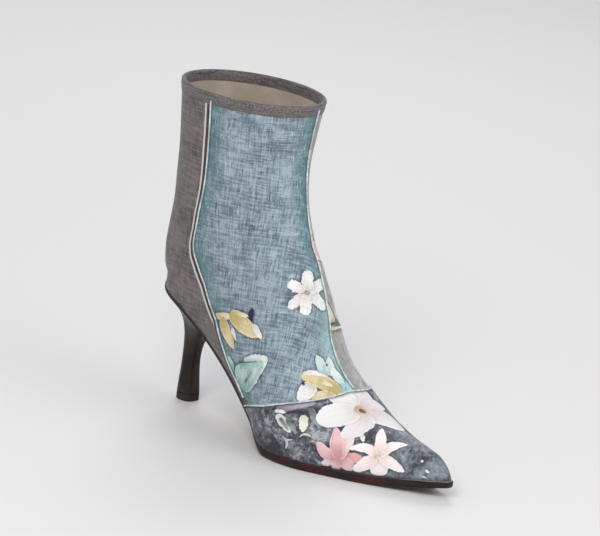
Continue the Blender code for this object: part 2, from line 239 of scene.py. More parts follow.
def lay_flat(points, start, steps=2500, give=0.12):
    """Relaxes a flat start until its links are as long as those on the last."""
    every, but_last, but_first = slice(None), slice(0, -1), slice(1, None)
    links = [
        ((every, but_last), (every, but_first)),
        ((but_last, every), (but_first, every)),
        ((but_last, but_last), (but_first, but_first)),
        ((but_last, but_first), (but_first, but_last)),
    ]
    lengths = [np.linalg.norm(points[a] - points[b], axis=-1) for a, b in links]
    flat = start.astype(float).copy()
    for _ in range(steps):
        move = np.zeros_like(flat)
        for (a, b), length in zip(links, lengths):
            gap = flat[b] - flat[a]
            now = np.linalg.norm(gap, axis=-1) + 1e-9
            pull = gap * (give * (now - length) / now)[..., None]
            move[a] += pull
            move[b] -= pull
        flat += move
    return flat


def spread(coarse, rows, columns, shape):
    """Values on a coarse grid filled in on the fine one."""
    fine = np.zeros((*shape, 2))
    for axis in range(2):
        lines = np.array([np.interp(np.arange(shape[1]), columns, line) for line in coarse[..., axis]])
        fine[..., axis] = np.array([np.interp(np.arange(shape[0]), rows, line) for line in lines.T]).T
    return fine


def turned(flat, origin, up):
    """The flat pattern moved to its origin and turned until up is its second axis."""
    angle = math.atan2(up[0], up[1])
    c, s = math.cos(angle), math.sin(angle)
    return (flat - origin) @ np.array([[c, -s], [s, c]]).T


def flat_pattern(points, start):
    """A panel's flat pattern, relaxed on a coarse grid and filled in."""
    sides = zip(points.shape, FLAT_GRID)
    rows, columns = (np.unique(np.linspace(0, full - 1, few).astype(int)) for full, few in sides)
    coarse = np.ix_(rows, columns)
    return spread(lay_flat(points[coarse], start[coarse]), rows, columns, points.shape[:2])


def edge_distance(points):
    """Distance of each grid point from the grid's four sides, measured along its lines."""
    down = np.linalg.norm(np.diff(points, axis=0), axis=-1)
    over = np.linalg.norm(np.diff(points, axis=1), axis=-1)
    zero_row, zero_column = np.zeros((1, points.shape[1])), np.zeros((points.shape[0], 1))
    from_first = np.concatenate([zero_row, np.cumsum(down, 0)], 0)
    from_left = np.concatenate([zero_column, np.cumsum(over, 1)], 1)
    return from_first, from_first[-1:] - from_first, from_left, from_left[:, -1:] - from_left


def section_arcs(rows, places):
    """Distance from the ridge around each point's own cross section, with the outer side negative."""
    table = np.linspace(0, 10, 201)
    lines = upper_points(table[:, None], places[:1])
    steps = np.linalg.norm(np.diff(lines[..., 1:], axis=1), axis=-1)
    arcs = np.concatenate([np.zeros((len(table), 1)), np.cumsum(steps, 1)], 1)
    arcs -= arcs[:, [places.shape[1] // 2]]
    return np.stack([np.interp(rows[:, i], table, arcs[:, i]) for i in range(places.shape[1])], 1)


def grid_shares(grid, first=0):
    """Even shares along both sides of a grid, the second side from a first value to 1."""
    return np.meshgrid(np.linspace(0, 1, grid[0]), np.linspace(first, 1, grid[1]), indexing="ij")


def vamp_grid():
    """The vamp's rows and places, its points, and its flat pattern from the toe tip up the ridge."""
    share, places = grid_shares(VAMP_GRID, -1)
    rows = (vamp_seam_row(places[0]) + VAMP_LAP)[None, :] * share ** 0.8
    points = upper_points(rows, places)
    flat = flat_pattern(points, np.stack([section_arcs(rows, places), LAST[0, 0] - points[..., 0]], -1))
    middle = points.shape[1] // 2
    return rows, places, points, turned(flat, flat[0, middle], flat[-1, middle] - flat[0, middle])


def quarter_grid(side):
    """A quarter's rows and places, its points, and its flat pattern from the throat up the leg."""
    share, over = grid_shares(QUARTER_GRID)
    reach = BACK_SEAM[0, 1] * side
    first = vamp_seam_row(reach + (FRONT_SEAM_PLACE - reach) * over[0])[None, :] - QUARTER_TUCK
    rows = first + (COLLAR - first) * share
    edge = side * back_seam_place(rows)
    places = edge + (FRONT_SEAM_PLACE - edge) * over
    points = upper_points(rows, places)
    unfolded = points[..., 0] - side * 0.9 * points[..., 1]
    flat = flat_pattern(points, np.stack([unfolded, points[..., 2]], -1))
    low = points[..., 2] < LEG_START
    climb = np.linalg.lstsq(np.c_[flat[low], np.ones(low.sum())], points[..., 2][low], rcond=None)[0]
    return rows, places, points, turned(flat, flat[0, -1], climb[:2])


# Meshes.

def grid_mesh(name, points, flat=None, rim=None, outward=None):
    """A mesh of quads over a grid of points, with its flat pattern and its distance from the seams."""
    rows, columns = points.shape[:2]
    index = np.arange(rows * columns).reshape(rows, columns)
    quads = np.stack([index[:-1, :-1], index[:-1, 1:], index[1:, 1:], index[1:, :-1]], -1).reshape(-1, 4)
    if outward is not None:
        a, b, c, d = (points.reshape(-1, 3)[quads[:, i]] for i in range(4))
        facing = np.sum(np.cross(c - a, d - b) * outward.reshape(-1, 3)[quads[:, 0]])
        if facing < 0:
            quads = quads[:, ::-1]
    mesh = bpy.data.meshes.new(name)
    mesh.from_pydata((points.reshape(-1, 3) * MM).tolist(), [], quads.tolist())
    if flat is not None:
        layer = mesh.uv_layers.new(name="flat")
        layer.uv.foreach_set("vector", flat.reshape(-1, 2)[quads.ravel()].astype(np.float32).ravel())
    if rim is not None:
        mesh.attributes.new("rim", "FLOAT", "POINT").data.foreach_set("value", rim.astype(np.float32).ravel())
    return mesh


def merged(mesh, sources):
    """Fills a mesh from the source meshes, with their doubles merged."""
    bm = bmesh.new()
    for source in sources:
        bm.from_mesh(source)
    bmesh.ops.remove_doubles(bm, verts=bm.verts, dist=MERGE_DISTANCE)
    bm.to_mesh(mesh)
    bm.free()
    return mesh


def show(name, mesh, material, nodes):
    """Puts a finished mesh in the scene as a piece that stands for those nodes."""
    mesh.shade_smooth()
    mesh.materials.clear()
    mesh.materials.append(material)
    piece = bpy.data.objects.new(name, mesh)
    bpy.context.scene.collection.objects.link(piece)
    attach(piece, "root")
    if nodes:
        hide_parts(*nodes)
    return piece


def loft(rings, capped=True):
    """A closed mesh through rings of points."""
    bm = bmesh.new()
    rows = [[bm.verts.new(Vector(point) * MM) for point in ring] for ring in rings]
    count = len(rings[0])
    for lower, upper in zip(rows, rows[1:]):
        for i in range(count):
            j = (i + 1) % count
            bm.faces.new((lower[i], lower[j], upper[j], upper[i]))
    if capped:
        bm.faces.new(rows[0])
        bm.faces.new(rows[-1])
    bmesh.ops.remove_doubles(bm, verts=bm.verts, dist=MERGE_DISTANCE)
    bmesh.ops.recalc_face_normals(bm, faces=bm.faces)
    mesh = bpy.data.meshes.new("loft")
    bm.to_mesh(mesh)
    bm.free()
    return mesh


# Shader tools.

def add(tree, kind, inputs=None, **settings):
    """A node with its settings, and its inputs set to values or linked to sockets."""
    node = tree.nodes.new(kind)
    for key, value in settings.items():
        setattr(node, key, value)
    for key, value in (inputs or {}).items():
        if isinstance(value, bpy.types.NodeSocket):
            tree.links.new(value, node.inputs[key])
        else:
            node.inputs[key].default_value = value
    return node


def calc(tree, operation, *values, clamp=False):
    node = add(tree, "ShaderNodeMath", dict(enumerate(values)), operation=operation, use_clamp=clamp)
    return node.outputs[0]


def times(tree, a, b):
    return calc(tree, "MULTIPLY", a, b)


def times_add(tree, a, b, c):
    return calc(tree, "MULTIPLY_ADD", a, b, c)


def vector(tree, operation, *values):
    node = add(tree, "ShaderNodeVectorMath", dict(enumerate(values)), operation=operation)
    return node.outputs["Value" if operation in ("DOT_PRODUCT", "LENGTH") else "Vector"]


def smooth(tree, value, low, high):
    """0 below low, 1 above high, smooth between."""
    inputs = {"Value": value, "From Min": low, "From Max": high}
    return add(tree, "ShaderNodeMapRange", inputs, interpolation_type="SMOOTHSTEP").outputs["Result"]


def blend(tree, factor, a, b, mode="MIX"):
    inputs = {0: factor, 6: a, 7: b}
    return add(tree, "ShaderNodeMix", inputs, data_type="RGBA", blend_type=mode).outputs[2]


def tint(tree, colour, paint, mask, share):
    """Lays a paint over a colour where the mask is, at a share of its strength."""
    return blend(tree, times(tree, mask, share), colour, paint)


def noise(tree, place, scale, detail=2.0, roughness=0.55, distortion=0.0):
    inputs = {"Vector": place, "Scale": scale, "Detail": detail}
    inputs.update({"Roughness": roughness, "Distortion": distortion})
    return add(tree, "ShaderNodeTexNoise", inputs, noise_dimensions="3D").outputs["Fac"]


def along_axis(tree, place, axis):
    return add(tree, "ShaderNodeSeparateXYZ", {0: place}).outputs[axis]


def stretched(tree, place, x, y, z=1.0, shift=0.0):
    """Coordinates scaled along each axis, for streaks."""
    inputs = {"Vector": place, "Location": (shift, shift * 0.7, shift * 0.3), "Scale": (x, y, z)}
    return add(tree, "ShaderNodeMapping", inputs).outputs["Vector"]


def rgb(red, green, blue):
    return (red, green, blue, 1.0)


SOCKETS = {
    "vector": "NodeSocketVector", "colour": "NodeSocketColor", "value": "NodeSocketFloat",
    "whole": "NodeSocketInt", "material": "NodeSocketMaterial", "geometry": "NodeSocketGeometry",
}


def new_group(name, inputs, outputs, kind="ShaderNodeTree"):
    """An empty node group with named sockets, listed by their kind."""
    tree = bpy.data.node_groups.new(name, kind)
    for in_out, sockets in (("INPUT", inputs), ("OUTPUT", outputs)):
        for socket_kind, labels in sockets.items():
            for label in labels.split():
                tree.interface.new_socket(label, in_out=in_out, socket_type=SOCKETS[socket_kind])
    return tree, tree.nodes.new("NodeGroupInput").outputs, tree.nodes.new("NodeGroupOutput").inputs


def place_group(tree, group, values):
    return add(tree, "ShaderNodeGroup", values, node_tree=group)


def new_material(name, **values):
    """A material whose shader's plain values are set on its own sockets."""
    material = bpy.data.materials.new(name)
    material.use_nodes = True
    tree = material.node_tree
    shader = tree.nodes["Principled BSDF"]
    for key, value in values.items():
        shader.inputs[key.replace("_", " ").title().replace("Ior", "IOR")].default_value = value
    return material, tree, shader


def finish_material(tree, shader, colour, roughness=None, height=None, strength=0.3, distance=0.0004):
    tree.links.new(colour, shader.inputs["Base Color"])
    if roughness is not None:
        tree.links.new(roughness, shader.inputs["Roughness"])
    if height is not None:
        bump = add(tree, "ShaderNodeBump", {"Height": height, "Strength": strength, "Distance": distance})
        tree.links.new(bump.outputs["Normal"], shader.inputs["Normal"])


# Shared effects.

def petal_group():
    """One printed petal or leaf over the colour under it, from its base to its tip on the flat pattern."""
    tree, given, out = new_group("printed petal", {
        "vector": "Flat Base Tip",
        "colour": "Under Heart Blade Rim",
        "value": "Half Widest Sharp Bend Wander Ragged Brush Covered Soft",
    }, {"colour": "Colour", "value": "Covered"})
    line = vector(tree, "SUBTRACT", given["Tip"], given["Base"])
    axis = vector(tree, "NORMALIZE", line)
    side = vector(tree, "CROSS_PRODUCT", (0.0, 0.0, 1.0), axis)
    reach = vector(tree, "SUBTRACT", given["Flat"], given["Base"])
    # A vanishing share of the colour below keeps a long chain of petals in order.
    reach = vector(tree, "MULTIPLY_ADD", given["Under"], (1e-9, 1e-9, 1e-9), reach)
    travelled = vector(tree, "DOT_PRODUCT", reach, axis)
    along = calc(tree, "DIVIDE", travelled, vector(tree, "LENGTH", line), clamp=True)
    ahead = calc(tree, "SUBTRACT", 1.0, along)
    bow = times(tree, times(tree, along, ahead), times(tree, given["Bend"], 4.0))
    across = calc(tree, "SUBTRACT", vector(tree, "DOT_PRODUCT", reach, side), bow)
    beyond = calc(tree, "SUBTRACT", 1.0, given["Widest"])
    swell = calc(tree, "DIVIDE", times(tree, given["Sharp"], given["Widest"]), beyond)
    rising = calc(tree, "POWER", calc(tree, "DIVIDE", along, given["Widest"]), times(tree, swell, 0.6))
    falling = calc(tree, "POWER", calc(tree, "DIVIDE", ahead, beyond), given["Sharp"])
    profile = times(tree, rising, falling)
    width = times(tree, profile, given["Half"])
    inside = calc(tree, "SUBTRACT", width, calc(tree, "ABSOLUTE", across))
    inside = times_add(tree, given["Wander"], given["Ragged"], inside)
    present = smooth(tree, profile, 0.0, 0.05)
    outer = times(tree, given["Soft"], -0.6)
    mask = times(tree, smooth(tree, inside, outer, given["Soft"]), present)
    share = calc(tree, "DIVIDE", across, calc(tree, "MAXIMUM", width, 0.2))
    brushed = times_add(tree, given["Brush"], 0.3, along)
    colour = blend(tree, smooth(tree, brushed, 0.12, 0.62), given["Heart"], given["Blade"])
    brushed = calc(tree, "ADD", calc(tree, "ABSOLUTE", share), times(tree, given["Brush"], 0.4))
    colour = blend(tree, smooth(tree, brushed, 0.62, 1.2), colour, given["Rim"])
    shaded = times(tree, smooth(tree, share, 0.1, 0.75), smooth(tree, share, 1.1, 0.7))
    colour = tint(tree, colour, given["Heart"], shaded, 0.35)
    rib = times(tree, smooth(tree, calc(tree, "ABSOLUTE", share), 0.16, 0.0), ahead)
    colour = tint(tree, colour, given["Heart"], rib, 0.5)
    vein = calc(tree, "SINE", times(tree, share, 11.0))
    colour = blend(tree, times_add(tree, vein, 0.06, 0.06), colour, given["Heart"])
    # Painted shadow: the colour round each petal is darkened towards dark blue, as if the petal cast a
    # shadow, and less where earlier petals already lie.
    petal_shadow = times(tree, smooth(tree, inside, -2.4, 0.1), present)
    bare = times_add(tree, given["Covered"], -0.46, 0.60)
    under = blend(tree, times(tree, petal_shadow, bare), given["Under"], rgb(0.028, 0.032, 0.052))
    tree.links.new(blend(tree, mask, under, colour), out["Colour"])
    tree.links.new(calc(tree, "MAXIMUM", given["Covered"], mask), out["Covered"])
    return tree


def denim_group():
    """Slubby denim: uneven warp and weft streaks, pale slubs and dark dashes, and a fine thread relief."""
    tree, given, out = new_group("slub denim", {
        "vector": "Flat", "value": "Streak Thread",
    }, {"value": "Shade Pale Dark Height"})
    scaled = add(tree, "ShaderNodeVectorMath", {0: given["Flat"]}, operation="SCALE")
    tree.links.new(calc(tree, "DIVIDE", 1.0, given["Streak"]), scaled.inputs["Scale"])
    scaled = scaled.outputs["Vector"]
    warp = noise(tree, stretched(tree, scaled, 0.75, 0.075), 1.0, 3.0, 0.65)
    weft = noise(tree, stretched(tree, scaled, 0.075, 0.75, shift=31.0), 1.0, 3.0, 0.65)
    cloud = noise(tree, stretched(tree, scaled, 0.06, 0.06, shift=7.0), 1.0, 2.0)
    total = calc(tree, "ADD", calc(tree, "ADD", warp, weft), times(tree, cloud, 0.6))
    tree.links.new(smooth(tree, total, 1.02, 1.56), out["Shade"])

    def flecks(x, y, shift, low, high):
        """Sparse flecks drawn out along one way of the threads."""
        return smooth(tree, noise(tree, stretched(tree, scaled, x, y, shift=shift), 1.0, 2.0, 0.7), low, high)

    pale = calc(tree, "MAXIMUM", flecks(0.13, 1.1, 53.0, 0.60, 0.72), flecks(1.1, 0.13, 71.0, 0.60, 0.72))
    tree.links.new(pale, out["Pale"])
    dark = calc(tree, "MAXIMUM", flecks(0.95, 0.13, 97.0, 0.58, 0.70), flecks(0.15, 0.95, 19.0, 0.65, 0.76))
    tree.links.new(dark, out["Dark"])
    turns = calc(tree, "DIVIDE", 2 * math.pi, given["Thread"])
    warp_wave = calc(tree, "SINE", times(tree, along_axis(tree, given["Flat"], "X"), turns))
    weft_wave = calc(tree, "SINE", times(tree, along_axis(tree, given["Flat"], "Y"), turns))
    threads = times(tree, warp_wave, weft_wave)
    relief = times_add(tree, threads, 0.35, times(tree, total, 0.5))
    tree.links.new(relief, out["Height"])
    return tree


def wear_group():
    """Soil and rubbing: a soft uneven mask, and a mask of small scuffs."""
    tree, given, out = new_group("soil and scuffs", {
        "vector": "Place", "value": "Size Amount",
    }, {"value": "Soil Scuff"})
    broad = noise(tree, given["Place"], given["Size"], 4.0, 0.6)
    fine = noise(tree, given["Place"], times(tree, given["Size"], 7.0), 5.0, 0.7)
    low = calc(tree, "SUBTRACT", 0.72, times(tree, given["Amount"], 0.3))
    soil = add(tree, "ShaderNodeMapRange", {"Value": broad, "From Min": low, "From Max": 0.85})
    tree.links.new(soil.outputs["Result"], out["Soil"])
    both = times_add(tree, broad, 0.4, times(tree, fine, 0.6))
    start = calc(tree, "SUBTRACT", 0.66, times(tree, given["Amount"], 0.12))
    scuff = add(tree, "ShaderNodeMapRange", {"Value": both, "From Min": start, "From Max": 0.72})
    tree.links.new(scuff.outputs["Result"], out["Scuff"])
    return tree


def grain_group():
    """Leather grain: small pebbles with fine pores."""
    tree, given, out = new_group("leather grain", {
        "vector": "Place", "value": "Pebble",
    }, {"value": "Height Tone"})
    cells = add(tree, "ShaderNodeTexVoronoi", {"Vector": given["Place"], "Scale": given["Pebble"]})
    pores = noise(tree, given["Place"], times(tree, given["Pebble"], 0.6), 4.0, 0.65)
    height = times_add(tree, cells.outputs["Distance"], 0.5, times(tree, pores, 0.5))
    tree.links.new(height, out["Height"])
    tree.links.new(noise(tree, given["Place"], times(tree, given["Pebble"], 0.06), 4.0, 0.6), out["Tone"])
    return tree


PETAL = petal_group()
DENIM = denim_group()
WEAR = wear_group()
GRAIN = grain_group()

# Print colours, each as the petal's heart, blade and rim.
INKS = {
    "white": (rgb(0.74, 0.70, 0.66), rgb(0.87, 0.85, 0.83), rgb(0.90, 0.90, 0.88)),
    "lilac": (rgb(0.70, 0.60, 0.58), rgb(0.82, 0.78, 0.81), rgb(0.89, 0.87, 0.89)),
    "blush": (rgb(0.76, 0.44, 0.42), rgb(0.89, 0.72, 0.71), rgb(0.93, 0.87, 0.87)),
    "snow": (rgb(0.87, 0.69, 0.65), rgb(0.95, 0.89, 0.88), rgb(0.96, 0.93, 0.93)),
    "amber": (rgb(0.62, 0.42, 0.28), rgb(0.76, 0.60, 0.47), rgb(0.86, 0.76, 0.67)),
    "pink": (rgb(0.60, 0.30, 0.32), rgb(0.84, 0.55, 0.56), rgb(0.91, 0.76, 0.77)),
    "rose": (rgb(0.62, 0.24, 0.23), rgb(0.82, 0.44, 0.42), rgb(0.90, 0.68, 0.66)),
    "throat": (rgb(0.52, 0.34, 0.24), rgb(0.72, 0.55, 0.45), rgb(0.82, 0.71, 0.65)),
    "eye": (rgb(0.10, 0.03, 0.012), rgb(0.20, 0.075, 0.035), rgb(0.45, 0.26, 0.17)),
    "ochre": (rgb(0.55, 0.42, 0.17), rgb(0.79, 0.67, 0.39), rgb(0.89, 0.84, 0.66)),
    "butter": (rgb(0.60, 0.52, 0.26), rgb(0.82, 0.78, 0.54), rgb(0.87, 0.86, 0.71)),
    "mint": (rgb(0.24, 0.42, 0.39), rgb(0.46, 0.69, 0.64), rgb(0.86, 0.93, 0.90)),
    "frost": (rgb(0.52, 0.66, 0.62), rgb(0.68, 0.78, 0.75), rgb(0.74, 0.83, 0.80)),
    "rime": (rgb(0.62, 0.72, 0.69), rgb(0.82, 0.88, 0.86), rgb(0.90, 0.93, 0.92)),
    "pale": (rgb(0.66, 0.66, 0.48), rgb(0.83, 0.83, 0.70), rgb(0.88, 0.89, 0.82)),
    "deep": (rgb(0.03, 0.08, 0.08), rgb(0.09, 0.18, 0.17), rgb(0.25, 0.40, 0.37)),
    "aqua": (rgb(0.46, 0.63, 0.60), rgb(0.70, 0.83, 0.80), rgb(0.86, 0.92, 0.90)),
    "sage": (rgb(0.12, 0.14, 0.14), rgb(0.30, 0.35, 0.33), rgb(0.50, 0.55, 0.50)),
    "mauve": (rgb(0.26, 0.21, 0.28), rgb(0.45, 0.37, 0.45), rgb(0.58, 0.51, 0.58)),
    "curl": (rgb(0.52, 0.54, 0.48), rgb(0.68, 0.70, 0.63), rgb(0.72, 0.73, 0.66)),
    "dusk": (rgb(0.010, 0.010, 0.014), rgb(0.014, 0.014, 0.02), rgb(0.03, 0.03, 0.04)),
    "navy_hem_shadow": (rgb(0.012, 0.015, 0.04), rgb(0.02, 0.025, 0.06), rgb(0.06, 0.08, 0.13)),
}
# How softly a print colour's outline fades, in millimetres, where it isn't crisp.
CRISP_INK = 0.34
SOFT_INKS = {"throat": 2.4, "amber": 1.6, "eye": 0.9, "mauve": 1.0, "dusk": 0.8, "sage": 0.8, "frost": 3.0}

# A stroke of the print starts at x, y on its panel's flat pattern and runs along its heading for its length.
Stroke = namedtuple("Stroke", "ink form x y heading length half bend ragged")
RAGGED_REACH = 1.8

# Outlines of a stroke: where along its length it is widest, and how sharp its tip is.
FORMS = {"petal": (0.60, 0.45), "leaf": (0.50, 0.60), "fan": (0.66, 0.32), "dab": (0.50, 0.45)}


def flower(x, y, ragged, petals, hollow=1.5):
    """Petals that run out from a centre: ink, form, heading, reach, half width and bend of each."""
    strokes = []
    for ink, form, heading, reach, half, bend in petals:
        angle = math.radians(heading)
        start_x, start_y = x + hollow * math.cos(angle), y + hollow * math.sin(angle)
        strokes.append(Stroke(ink, form, start_x, start_y, heading, reach - hollow, half, bend, ragged))
    return strokes


def marks(ragged, rows):
    """Single leaves and dabs: ink, form, x, y, heading, length, half width and bend of each."""
    return [Stroke(*row, ragged) for row in rows]


# The print in rounded millimetres and degrees, in the order in which it is painted.
DARK_DABS = marks(1.0, [
    ("mauve", "fan", -49, 107.5, -27, 25, 3.1, 0),
    ("dusk", "dab", -45.5, 101, -42, 13, 1.1, 1.2),
    ("white", "leaf", -50, 108, -54, 8, 1.2, 0),
])
SIDE_LEAVES = marks(1.6, [
    ("rime", "leaf", -50.5, 105, -89, 15, 2.8, 0),
    ("sage", "leaf", -50.5, 102, -90, 10, 1.5, 0),
    ("sage", "leaf", -47.5, 98.5, -93, 12, 1.7, 0),
    ("pale", "dab", -38, 93, -132, 10.5, 2.6, 0),
    ("sage", "leaf", -32, 95, -107, 16, 1.9, 0),
    ("sage", "leaf", -61.5, 83.5, -15, 9, 1.4, 0),
])
SIDE_CURLS = marks(0.8, [
    ("curl", "dab", -56.5, 93.5, -131, 8, 1.1, 2.4),
    ("curl", "leaf", -57.5, 91.5, -43, 6.5, 0.6, 0),
    ("curl", "leaf", -48, 84.5, -52, 7.5, 0.8, 1.7),
    ("white", "leaf", -20, 59.5, -120, 6, 1.5, 0),
])
PINK_FLOWER = flower(-41, 58, 0.9, [
    ("blush", "petal", 150, 13, 2.6, 0),
    ("pink", "petal", 191, 9, 3.2, 0),
    ("rose", "petal", -47, 15, 3.2, 0),
    ("pink", "petal", -86, 11, 4, 0),
    ("pink", "petal", 98, 16.5, 3.8, 2),
    ("blush", "leaf", 16, 19, 3.8, 0),
    ("pink", "leaf", 51, 20.5, 4.2, 0),
], hollow=0)
LARGE_BLOOM = flower(-5, 75.5, 1.3, [
    ("lilac", "petal", 45, 27, 9, 0),
    ("white", "petal", 116, 23, 8.5, -3.5),
    ("lilac", "petal", 6, 25, 7.5, 3),
    ("lilac", "leaf", -63, 30, 11, 5),
    ("lilac", "petal", -120, 18, 6.5, 0),
    ("lilac", "petal", -158, 27, 7, 4.5),
    ("white", "petal", 162, 31, 9, 0),
])
BLOOM_EYE = marks(0.5, [
    ("throat", "leaf", -7, 80.5, -63, 10.5, 4.8, 0),
    ("eye", "dab", -5.5, 77.5, -60, 5, 2, 0),
])
STAR_FLOWER = flower(-23, 40, 0.8, [
    ("snow", "fan", -141, 12.5, 6, 0),
    ("snow", "petal", 160, 19, 3.8, 0),
    ("snow", "leaf", -82, 19, 3.2, 0),
    ("snow", "leaf", 118, 20, 3.3, -3),
    ("snow", "leaf", -21, 19, 3.8, 2.7),
    ("snow", "leaf", 42, 23.5, 3.6, 0),
], hollow=0.5)
TOE_DABS = marks(0.4, [
    ("amber", "dab", -26, 41.5, -4, 5.5, 1.5, 0),
    ("white", "dab", -9, 17.5, -50, 1.7, 0.8, 0),
    ("white", "dab", -10.5, 11.5, -75, 2.7, 0.8, 0),
    ("curl", "dab", -14.5, 11, -67, 3.4, 0.7, 0),
])
VAMP_PRINT = DARK_DABS + SIDE_LEAVES + SIDE_CURLS + PINK_FLOWER
VAMP_PRINT += LARGE_BLOOM + BLOOM_EYE + STAR_FLOWER + TOE_DABS

YELLOW_LEAVES = marks(0.9, [
    # The navy dab at the top of the ochre leaves is painted shadow, as under a trouser hem.
    ("navy_hem_shadow", "dab", -85, 29, 82, 9, 2.3, 0),
    ("butter", "dab", -117.5, 28, 8, 18, 2.4, 0),
    ("ochre", "leaf", -111.5, 28, -56, 22, 4.8, -0.7),
    ("white", "dab", -101, 23, -59, 8.5, 1.7, 0),
    ("ochre", "leaf", -103, 32, -22, 30, 5.5, 0),
    ("white", "dab", -81.5, 28, -45, 11.5, 2.2, 0),
    ("butter", "dab", -98.5, 33.5, -6, 12.5, 1.6, 0),
])
MINT_LEAF = marks(1.6, [
    ("mint", "leaf", -102.5, -5.5, 124, 11, 4.1, 0),
    ("deep", "leaf", -101, -6, 50, 9, 2.6, 0),
    ("rime", "petal", -88, -12.5, 46, 30, 5.6, 0),
    ("rime", "petal", -88.5, 4, 13, 22, 2.6, 0),
    ("mint", "petal", -91, -15.5, 45, 29.5, 6, 0),
    ("mint", "petal", -92, -15.5, 97, 16, 7.9, 0),
    ("mint", "dab", -94, -1, 13, 23.5, 3, 0),
    ("deep", "dab", -95, 1.5, 11, 19.5, 0.6, 0),
    ("frost", "dab", -84.5, -8, 44, 14.5, 3.2, 0),
    ("sage", "dab", -89, -11, 47, 13, 1.3, 0),
    ("frost", "dab", -93.5, -11.5, 69, 12, 1.6, 0),
])
FRONT_LEAVES = marks(1.1, [
    ("aqua", "leaf", -22, 8, 132, 15, 4.2, 0),
    ("aqua", "leaf", -18.5, 9, 107, 13.5, 3.8, 0),
    ("rime", "dab", -11.5, 6, 130, 12, 3.9, 0),
    ("deep", "dab", -24, 16, -34, 1.8, 0.9, 0),
    ("ochre", "dab", -14.5, -2.5, -151, 19, 3.7, 0),
    ("white", "dab", -32, -1, -113, 15.5, 5.2, 0),
    ("ochre", "dab", -12.5, -2.5, 171, 28, 6, -2.6),
    ("butter", "dab", -28.5, 2.5, -7, 10, 1.8, 0),
    ("dusk", "dab", -39, -2.5, -21, 2.5, 1.1, 0),
    ("white", "dab", -39.5, 3.5, 12, 16.5, 1.7, 1.8),
])
WHITE_BLOSSOM = flower(-50, 54.5, 2.2, [
    ("white", "fan", -127, 15.5, 3.3, 0),
    ("white", "fan", -15, 17.5, 3.8, 0),
    ("white", "fan", 166, 13.5, 3.5, 0),
    ("white", "fan", 42, 18.5, 3.5, 0),
    ("white", "fan", 99, 14, 4.3, 0),
    ("white", "fan", -82, 14, 4.1, 0),
])
BLOSSOM_EYE = marks(1.0, [("throat", "dab", -52, 53.5, 36, 5, 1.5, 0)])
OUTER_PRINT = YELLOW_LEAVES + MINT_LEAF + FRONT_LEAVES + WHITE_BLOSSOM + BLOSSOM_EYE

INNER_LEAVES = marks(0.6, [
    ("butter", "leaf", -30, 36, 100, 19.5, 5, 0),
    ("ochre", "leaf", -22, 43, 110, 15, 3.4, 0),
    ("deep", "dab", -16, 47, -153, 40, 1.2, 0),
    ("butter", "dab", -16, 43.5, -153, 40, 0.9, 0),
    ("mint", "petal", -60, 23, 45, 28, 7, 1),
])
INNER_FLOWER = flower(-62, 73, 0.5, [
    ("pink", "petal", 38, 23, 6, 0.8),
    ("pink", "petal", 100, 22.5, 6, 0),
    ("blush", "petal", 165, 23, 6, 0),
    ("blush", "petal", -131, 21.5, 6, 0),
])
INNER_EYE = marks(0.5, [("throat", "dab", -64.5, 74, -22, 5.5, 2, 0)])
INNER_PRINT = INNER_LEAVES + INNER_FLOWER + INNER_EYE


def print_flowers(tree, flat, colour, strokes):
    """Lays a panel's petals and leaves over its cloth, each with an uneven printed outline."""
    wander = calc(tree, "SUBTRACT", noise(tree, flat, 0.42, 3.0, 0.6), 0.5)
    brush = calc(tree, "SUBTRACT", noise(tree, flat, 0.3, 4.0, 0.65), 0.5)
    covered = 0.0
    for stroke in strokes:
        heart, blade, rim = INKS[stroke.ink]
        widest, sharp = FORMS[stroke.form]
        angle = math.radians(stroke.heading)
        tip = (stroke.x + stroke.length * math.cos(angle), stroke.y + stroke.length * math.sin(angle), 0.0)
        petal = place_group(tree, PETAL, {
            "Flat": flat, "Under": colour, "Covered": covered, "Wander": wander, "Brush": brush,
            "Base": (stroke.x, stroke.y, 0.0), "Tip": tip, "Half": stroke.half, "Bend": stroke.bend,
            "Widest": widest, "Sharp": sharp, "Ragged": stroke.ragged * RAGGED_REACH,
            "Heart": heart, "Blade": blade, "Rim": rim, "Soft": SOFT_INKS.get(stroke.ink, CRISP_INK),
        }).outputs
        colour, covered = petal["Colour"], petal["Covered"]
    return colour, covered


def flat_socket(tree):
    return add(tree, "ShaderNodeUVMap", uv_map="flat").outputs["UV"]


def attribute_socket(tree, name):
    return add(tree, "ShaderNodeAttribute", attribute_name=name).outputs["Fac"]


def object_socket(tree):
    return add(tree, "ShaderNodeTexCoord").outputs["Object"]


